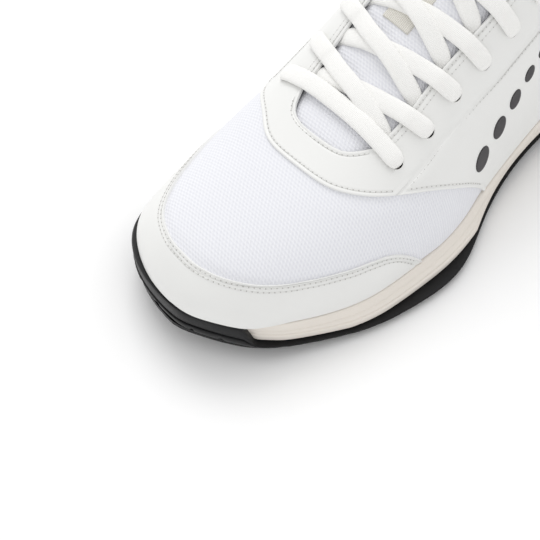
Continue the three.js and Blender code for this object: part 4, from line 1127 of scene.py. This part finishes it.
def toeSwell(u, angle):
    # the leather fills out over the bumper at the toe: most at its foot, nothing 18 mm further up
    rise = bareUpper(u, np.radians(angle))[..., 2] - upperForm(u)[3]
    lateral = mix(3.2, 3.9, smooth(u / 0.07)) * smooth((0.215 - u) / 0.085)
    medial = 3.3 * smooth((0.255 - u) / 0.09)
    return mix(medial, lateral, smooth((130 - angle) / 80)) * (1 - smooth(rise / 18))


def makeToeCap():
    # from the toe tip back to the cap line, over the whole foot, with a round raised edge and two stitch rows
    angle = np.linspace(0, 180, 150)[None, :]
    border = upperPoint(toeCapLine(angle[0]), angle[0])
    reach = np.linalg.norm(border - upperPoint(0.0, 90.0), axis=-1).mean()
    s = spacedShares(reach, 44, lowEdge=False)[0][:, None]
    u = s * toeCapLine(angle)
    bare = upperPoint(u, angle * np.ones_like(u))
    run = arcLengths(bare, 0)
    distance = run[-1:] - run
    depth = edgeDrop(distance, cap["edge"]) - cap["lift"] * smooth((3.5 - distance) / 3)
    depth = depth + sum(seamDip(distance, at) for at in cap["stitches"])
    outer = upperPoint(u, angle, depth - toeSwell(u, angle))
    inner = upperPoint(u, angle, cap["under"])
    outer[..., 2] += 0.5 * smooth(toeSwell(u, angle) / 3)
    settle(shellPiece("toeCap", outer, inner, leather), "shoe", "leather", "toe_cap")


def capStitches():
    # two rows that follow the cap line over the swell of the leather
    angle = np.linspace(3, 177, 240)
    line = toeCapLine(angle)
    runs = []
    for at in cap["stitches"]:
        u, turn = besideLine(line, angle, at)
        runs.append(stitchRun(u, turn, 0.1 + toeSwell(u, turn)))
    return runs


vamp = {"depth": 0.85, "puff": 0.55, "thick": 0.8}


def vampEnd(angle):
    # the mesh's hidden rear border: 0.02 under the stay, cut short in front of the throat
    return np.minimum(frontLine(angle) + 0.02, 0.342 + 0.14 * np.abs(angle - 88) / 88)


def makeVamp():
    # woven mesh over the forefoot, puffed a little between the cap and the stay
    angle = np.linspace(0, 180, 130)[None, :]
    u = np.linspace(0, 1, 120)[:, None] * vampEnd(angle)
    inside = smooth((u - toeCapLine(angle)) / 0.03) * smooth((frontLine(angle) - u) / 0.03)
    depth = vamp["depth"] - vamp["puff"] * inside
    outer = upperPoint(u, angle * np.ones_like(u), depth)
    inner = upperPoint(u, angle * np.ones_like(u), vamp["depth"] + vamp["thick"])
    piece = shellPiece("vampMesh", outer, inner, meshCloth, cloth=footCloth(u, angle * np.ones_like(u)))
    settle(piece, "shoe", "upper_mesh", "vamp_mesh")


stay = {"arm": 0.36, "stitches": 1.9, "throatStitches": 1.8, "lift": 0.35, "valley": 0.45, "valleyWidth": 1.6}


def stayPair(s):
    # outer and inner borders of the U, from the top of the inner arm round the throat to the other top
    arm = stay["arm"]
    u0, a0, u1, a1 = (np.zeros_like(s) for _ in range(4))
    for k, mask, up in ((1, s < arm, 1 - s / arm), (0, s > 1 - arm, (s - 1 + arm) / arm)):
        outer, inner = mix(throatStart, seamEnd, up), mix(throatStart, throatEnd, up)
        u0, a0 = np.where(mask, outer, u0), np.where(mask, seamLine[k](outer), a0)
        u1, a1 = np.where(mask, inner, u1), np.where(mask, throatLine[k](inner), a1)
    turn = (s - arm) / (1 - 2 * arm)
    front = (s >= arm) & (s <= 1 - arm)
    outerAngle, innerAngle = mix(140, 42, turn), mix(106, 65, turn)
    u0, a0 = np.where(front, frontLine(outerAngle), u0), np.where(front, outerAngle, a0)
    u1, a1 = np.where(front, throatFrontLine(innerAngle), u1), np.where(front, innerAngle, a1)
    return u0, a0, u1, a1


def makeEyestay():
    # the leather U: raised edge at the front, a valley along the quarters' seams, a row at the throat
    arm = stay["arm"]
    s = np.unique(np.concatenate([np.linspace(low, high, 110)
                                  for low, high in ((0, arm), (arm, 1 - arm), (1 - arm, 1))]))
    u0, a0, u1, a1 = stayPair(s)
    span = np.linalg.norm(upperPoint(u0, a0) - upperPoint(u1, a1), axis=-1)
    t = spacedShares(span, 20)
    u, angle = mix(u0[:, None], u1[:, None], t), mix(a0[:, None], a1[:, None], t)
    run = arcLengths(upperPoint(u, angle), 1)
    fromOuter, fromThroat = run, run[:, -1:] - run
    onFront = smooth(np.minimum(s - arm + 0.02, 1 - arm + 0.02 - s) / 0.03)[:, None]
    raised = edgeDrop(fromOuter) - stay["lift"] * smooth((3.5 - fromOuter) / 3)
    raised = raised + seamDip(fromOuter, stay["stitches"])
    valley = stay["valley"] * np.exp(-(fromOuter / stay["valleyWidth"]) ** 2)
    depth = mix(valley, raised, onFront) + edgeDrop(fromThroat) + seamDip(fromThroat, stay["throatStitches"])
    outer = upperPoint(u, angle, depth)
    inner = upperPoint(u, angle, 1.25)
    piece = shellPiece("eyestay", outer, inner, leather)
    punchHoles(piece)
    settle(piece, "shoe", "leather", "eyestay")


def punchHoles(piece):
    # the eyelets are cut by plain pins, square to the upper
    grid = []
    lap = np.linspace(0, 2 * np.pi, 28, endpoint=False)
    for k in (0, 1):
        for row in range(lace["rows"]):
            u, angle = laceHole(row, k)
            up = upperNormal(np.array(u), np.radians(angle))
            side = unit(np.cross(up, [0, 0, 1.0]))
            circle = side * np.cos(lap)[:, None] + np.cross(up, side) * np.sin(lap)[:, None]
            centre = upperPoint(u, angle)
            grid.append([centre + up * height + circle * (lace["hole"] if wide else 0.001)
                         for height, wide in ((4, 0), (4, 1), (-4, 1), (-4, 0))])
    grid = np.array(grid)
    pins = buildPiece("pins", grid.reshape(-1, 3), tubeFaces(grid), leather, None, 30, 5e-6)
    cut = piece.modifiers.new("holes", "BOOLEAN")
    cut.operation, cut.solver, cut.object = "DIFFERENCE", "EXACT", pins
    bpy.context.view_layer.update()
    done = bpy.data.meshes.new_from_object(piece.evaluated_get(bpy.context.evaluated_depsgraph_get()))
    piece.modifiers.clear()
    piece.data = done
    bpy.data.objects.remove(pins)


def stayStitches():
    # one row round the front border, one along each quarter seam, two along each side of the throat
    runs = []
    turn = np.linspace(140, 42, 160)
    runs.append(stitchRun(*besideLine(frontLine(turn), turn, stay["stitches"]), 0.12))
    for k in (0, 1):
        away = -1 if k == 0 else 1
        foot = np.linspace(3, 38, 50) if k == 0 else np.linspace(177, 144, 50)
        runs.append(stitchRun(*besideLine(frontLine(foot), foot, away * stay["stitches"]), 0.12))
        u = np.linspace(throatStart + 0.004, seamEnd - 0.004, 160)
        runs.append(stitchRun(*besideLine(u, seamLine[k](u), away * 1.6), 0.05))
        u = np.linspace(throatStart, throatEnd - 0.004, 160)
        for distance in (stay["throatStitches"], stay["throatStitches"] + 2.4):
            runs.append(stitchRun(*besideLine(u, throatLine[k](u), away * distance), -0.02))
    turn = np.linspace(104, 67, 80)
    runs.append(stitchRun(*besideLine(throatFrontLine(turn), turn, -stay["throatStitches"]), -0.02))
    return runs


def makeShadeTapes():
    # tapes behind the holes, coloured near black as painted shade seen through the holes and under the stay's
    # edge
    for k, name in enumerate(("lateral", "medial")):
        s = np.linspace(0.03, 0.985, 90)[:, None]
        t = np.linspace(0.12, 0.9, 24)[None, :]
        outer, inner = mix(throatStart, seamEnd, s), mix(throatStart, throatEnd, s)
        u = mix(outer, inner, t)
        angle = mix(seamLine[k](outer), throatLine[k](inner), t)
        top, low = upperPoint(u, angle, 2.0), upperPoint(u, angle, 2.7)
        # the near-black tape is painted shade seen through the eyelets
        piece = shellPiece("eyeletShadeTape" + name.title(), top, low, paintedShadeTape)
        settle(piece, "shoe", "lining_textile", "eyestay_backing_" + name)


quarter = {"back": heelSeam + 0.012, "lift": 0.35, "edgeStitch": 1.9, "puff": 0.6}


def quarterPuff(toSeam):
    # the panel stands fuller in a band below its seam
    return quarter["puff"] * smooth(toSeam / 6) * smooth((20 - toSeam) / 14)


def makeQuarter(name, k):
    # a side panel from the front border to under the heel overlay, soft and full beside the stay's seam
    s0 = spacedShares(120.0, 90, highEdge=False)[0][:, None]
    start = frontLine(seamLine[k](throatStart))
    top = mix(start, quarter["back"], s0)
    mirror = (lambda w: w) if k == 0 else (lambda w: 2 - w)
    seam = seamLine[k](np.clip(top, throatStart, seamEnd))
    seam = seam if k == 0 else 180 - seam
    line = toplineAngle(mirror(top)) - toplineGap
    high = mix(seam, line, smooth((top - seamEnd + 0.012) / 0.014))
    t = spacedShares(70.0, 30, lowEdge=False)[0][None, :]
    angle = t * high
    front = frontLine(angle if k == 0 else 180 - angle)
    frontTop = front[:, -1:]
    u = mix(front, quarter["back"], (top - frontTop) / (quarter["back"] - frontTop))
    w = mirror(u)
    bare = wrapPoint(w, angle)
    across = arcLengths(bare, 1)
    along = arcLengths(bare, 0)
    toSeam = across[:, -1:] - across
    onSeam = smooth((seamEnd - u) / 0.02)
    raised = edgeDrop(along) - quarter["lift"] * smooth((3.5 - along) / 3)
    raised = raised + seamDip(along, quarter["edgeStitch"])
    valley = stay["valley"] * np.exp(-(toSeam / 1.3) ** 2) + seamDip(toSeam, 1.6)
    valley = valley - quarterPuff(toSeam) * smooth((along - 3) / 7)
    depth = valley * onSeam + raised * smooth((toSeam - 1) / 4) + edgeDrop(toSeam) * (1 - onSeam)
    outer = wrapPoint(w, angle, depth)
    inner = wrapPoint(w, angle, 1.35)
    piece = shellPiece("quarter" + name.title(), outer, inner, leather)
    settle(piece, "shoe", "leather", "quarter_" + name)


def makeHeelOverlay():
    # a panel round the heel over both quarters, with raised edges
    s = spacedShares(120.0, 60)[0][:, None]
    w = mix(heelSeam, 2 - heelSeam, s)
    t = spacedShares(60.0, 24, lowEdge=False)[0][None, :]
    angle = t * (toplineAngle(w) - toplineGap)
    w = w * np.ones_like(angle)
    bare = wrapPoint(w, angle)
    along = arcLengths(bare, 0)
    fromSide = np.minimum(along, along[-1:] - along)
    toTop = arcLengths(bare, 1)[:, -1:] - arcLengths(bare, 1)
    depth = -0.55 + edgeDrop(fromSide) + seamDip(fromSide, 1.8) + seamDip(fromSide, 4.0) + edgeDrop(toTop)
    outer = wrapPoint(w, angle, depth)
    inner = wrapPoint(w, angle, 1.1)
    settle(shellPiece("heelOverlay", outer, inner, leather), "shoe", "leather", "heel_overlay")


def heelStitches():
    # two rows down each border of the heel overlay
    runs = []
    height = np.linspace(0.03, 0.95, 80)
    for side in (heelSeam, 2 - heelSeam):
        top = toplineAngle(np.array(side)) - toplineGap
        for distance in (1.8, 4.0):
            inward = distance / 143 / np.pi * 2.2 * (1 if side < 1 else -1)
            runs.append(stitchRun(side + inward, height * top, 0.42))
    return runs


makeToeCap()
makeVamp()
makeEyestay()
makeShadeTapes()
makeQuarter("lateral", 0)
makeQuarter("medial", 1)
makeHeelOverlay()
stitchPiece("capStitches", capStitches())
stitchPiece("stayStitches", stayStitches())
stitchPiece("heelStitches", heelStitches())
print("panels and stitches made")

# ---------- lining, collar and tongue ----------

collar = {"start": 0.67, "drop": 26, "liningStart": 0.392}
armTop = [table((0.39, 44), (0.467, 38), (0.548, 30), (0.6, 28), (seamEnd, 30)),
          table((0.39, 46), (0.467, 46), (0.548, 43), (0.6, 40), (seamEnd, 33))]


def makeLining():
    # one lining round the heel; it follows the padded collar inwards below the topline
    s = np.linspace(0, 1, 260)[:, None]
    w = mix(collar["liningStart"], 2 - collar["liningStart"], s)
    u = stationOf(w)
    arm = np.where(w <= 1, armTop[0](u), armTop[1](u))
    high = mix(arm, toplineAngle(w) - toplineGap, smooth((u - seamEnd + 0.02) / 0.03))
    t = np.linspace(0, 1, 70)[None, :]
    angle = t * high
    w = w * np.ones_like(angle)
    depth = 4.5 + collarBulge(w, wrapPoint(w, angle)[..., 2])
    outer, inner = wrapPoint(w, angle, depth), wrapPoint(w, angle, depth + 0.8)
    settle(shellPiece("quarterLining", outer, inner, knitCloth), "shoe", "lining_textile", "quarter_lining")


def makeCollarPad():
    # foam between the quarter and the lining, as deep as the collar's bulge
    s = np.linspace(0, 1, 130)[:, None]
    w = mix(collar["start"], 2 - collar["start"], s)
    low = angleAtHeight(w, toplineZ(w) - collar["drop"])
    angle = mix(low, toplineAngle(w) - toplineGap, np.linspace(0, 1, 34)[None, :])
    w = w * np.ones_like(angle)
    bulge = collarBulge(w, wrapPoint(w, angle)[..., 2])
    outer, inner = wrapPoint(w, angle, 1.6), wrapPoint(w, angle, 3.6 + bulge)
    pad = settle(shellPiece("collarPad", outer, inner, padFoam), "shoe", "padding_foam", "collar_padding")


def makeBinding():
    # a rounded band rolled over the top of the collar, from the outer face to the lining
    s = np.linspace(0, 1, 200)
    w = mix(collar["start"] - 0.006, 2 - collar["start"] + 0.006, s)
    top = toplineAngle(w)
    lap = np.linspace(0, 2 * np.pi, 20, endpoint=False)
    across = 2.85 + 3.1 * np.sign(np.cos(lap)) * np.abs(np.cos(lap)) ** 0.8
    tall = 1.0 + 2.1 * np.sign(np.sin(lap)) * np.abs(np.sin(lap)) ** 0.9
    ends = smooth(np.minimum(s, 1 - s) / 0.02)[:, None]
    depth = 2.85 + (across[None] - 2.85) * mix(0.6, 1, ends)
    w, top = np.broadcast_to(w[:, None], depth.shape), np.broadcast_to(top[:, None], depth.shape)
    points = wrapPoint(w, top, depth)
    points[..., 2] += tall[None] * mix(0.6, 1, ends)
    first, last = (np.broadcast_to(row.mean(0), (1, *row.shape)) for row in (points[0], points[-1]))
    fold = np.concatenate([first, points, last])
    cloth = np.stack(np.broadcast_arrays(arcLengths(fold, 0), lap[None] * 2.4), -1).reshape(-1, 2)
    piece = buildPiece("collarBinding", fold.reshape(-1, 3), tubeFaces(fold), knitCloth, cloth, 60)
    settle(piece, "shoe", "lining_textile", "collar_binding")


tongue = {"start": 0.348, "bend": 0.78, "extension": 30, "lean": (0, 0.76, 0.65), "crown": 2.2, "wing": 5.0}
wingReach = table((tongue["start"], 5), (0.42, 11), (0.5, 13), (0.56, 14), (throatEnd, 13))


def tonguePoint(v, t, depth):
    # v runs up the tongue, t across it from the outer wing; beyond the bend it leans back off the upper
    u = mix(tongue["start"], throatEnd, np.minimum(v / tongue["bend"], 1))
    beyond = np.maximum(0, v - tongue["bend"]) / (1 - tongue["bend"])
    lateral, medial = throatLine[0](u) - wingReach(u), throatLine[1](u) + wingReach(u)
    angle = mix(lateral, medial, 0.5 + (t - 0.5) * (1 - 0.35 * beyond ** 3))
    sink = mix(tongue["wing"], tongue["crown"], smooth(np.minimum(t, 1 - t) / 0.3))
    point = upperPoint(u, angle, sink + depth * mix(0.45, 1, smooth(v / 0.15)))
    return point + np.array(tongue["lean"]) * (beyond * tongue["extension"])[..., None]


def makeTongue():
    # face, foam and lining; the face swells in the middle and rolls down over the foam at the borders
    v = spacedShares(150.0, 90)[0][:, None]
    t = spacedShares(60.0, 44)[0][None, :]
    v, t = np.broadcast_arrays(v, t)
    border = np.minimum(np.minimum(v, 1 - v) * 150, np.minimum(t, 1 - t) * 60)
    roll = 2.4 * (1 - np.sqrt(np.clip(1 - (1 - np.clip(border / 3.2, 0, 1)) ** 2, 0, 1)))
    swell = -0.7 * smooth(border / 9)
    quilt = 0.35 * np.exp(-((np.abs(t - 0.5) * 60 - 19) / 0.8) ** 2) * smooth((v - 0.2) / 0.05)
    face = tonguePoint(v, t, 0.15 + roll + swell + quilt)
    back = tonguePoint(v, t, 1.0 + roll)
    piece = shellPiece("tongueFace", face, back, meshCloth)
    settle(piece, "tongue", "upper_mesh", "tongue_face")
    vPad, tPad = mix(0.02, 0.98, v), mix(0.02, 0.98, t)
    face, back = tonguePoint(vPad, tPad, 1.1 + roll * 1.1), tonguePoint(vPad, tPad, 6.9 - roll)
    pad = shellPiece("tonguePad", face, back, padFoam)
    settle(pad, "tongue", "padding_foam", "tongue_padding")
    face, back = tonguePoint(v, t, 7.1 - roll * 1.55), tonguePoint(v, t, 7.9 - roll * 1.9)
    lining = shellPiece("tongueLining", face, back, knitCloth)
    settle(lining, "tongue", "lining_textile", "tongue_lining")


keeper = {"low": 0.365, "high": 0.58, "left": 0.49, "right": 0.66, "tab": 0.27}


def makeKeeper():
    # a ribbed ribbon along the tongue, folded under a smooth tab at its lower end
    s = np.linspace(0, 1, 70)[:, None]
    t = np.linspace(0, 1, 30)[None, :]
    v, across = mix(keeper["low"], keeper["high"], s), mix(keeper["left"], keeper["right"], t)
    v, across = np.broadcast_arrays(v, across)
    tab = smooth((keeper["tab"] - s) / 0.04) * 0.55
    rounded = edgeDrop(np.minimum(t, 1 - t) * 12, 0.5) + edgeDrop(np.minimum(s, 1 - s) * 32, 0.5)
    top = tonguePoint(v, across, rounded - 0.95 - tab)
    low = tonguePoint(v, across, -0.25)
    settle(shellPiece("laceKeeper", top, low, ribbonCloth), "tongue", "ribbon", "lace_keeper")


dots = ((0.478, 13, 5.2), (0.508, 15, 4.6), (0.534, 17, 4), (0.557, 19, 3.4), (0.577, 21, 2.8))


def makeDots():
    # thin round films on the quarters, each a low disc with a soft edge
    for i, (u, lateral, radius) in enumerate(dots):
        for name, angle in (("lateral", lateral), ("medial", 180 - lateral)):
            alongStep = np.linalg.norm(upperPoint(u + 0.005, angle) - upperPoint(u - 0.005, angle)) / 0.01
            overStep = np.linalg.norm(upperPoint(u, angle + 1) - upperPoint(u, angle - 1)) / 2
            lap = np.linspace(0, 2 * np.pi, 48, endpoint=False)[None, :]
            ring = np.array([0, 0.3, 0.6, 0.85, 0.95, 1, 1, 0.5, 0])[:, None]
            lift = np.array([0.32, 0.32, 0.32, 0.32, 0.3, 0.2, -0.3, -0.3, -0.3])[:, None]
            along = u + ring * radius * np.cos(lap) / alongStep
            turn = angle + ring * radius * np.sin(lap) / overStep
            toSeam = np.abs(seamLine[0 if name == "lateral" else 1](along) - turn) * overStep
            points = upperPoint(along, turn, -lift - quarterPuff(toSeam))
            piece = ringPiece(f"sideDot{name.title()}{i + 1}", points, charcoalFilm, 40, False)
            settle(piece, "shoe", "charcoal_film", f"side_dot_{name}_{i + 1}")


makeLining()
makeCollarPad()
makeBinding()
makeTongue()
makeKeeper()
makeDots()
print("lining, collar, tongue and trim made")

# ---------- CAD pieces that stay ----------

kept = {"shank_plate": shankPlastic, "strobel_board": fibreBoard, "toe_puff": fibreBoard,
        "heel_counter": fibreBoard, "vamp_lining": knitCloth}
for node, material in kept.items():
    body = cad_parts[node].data
    body.materials.clear()
    body.materials.append(material)
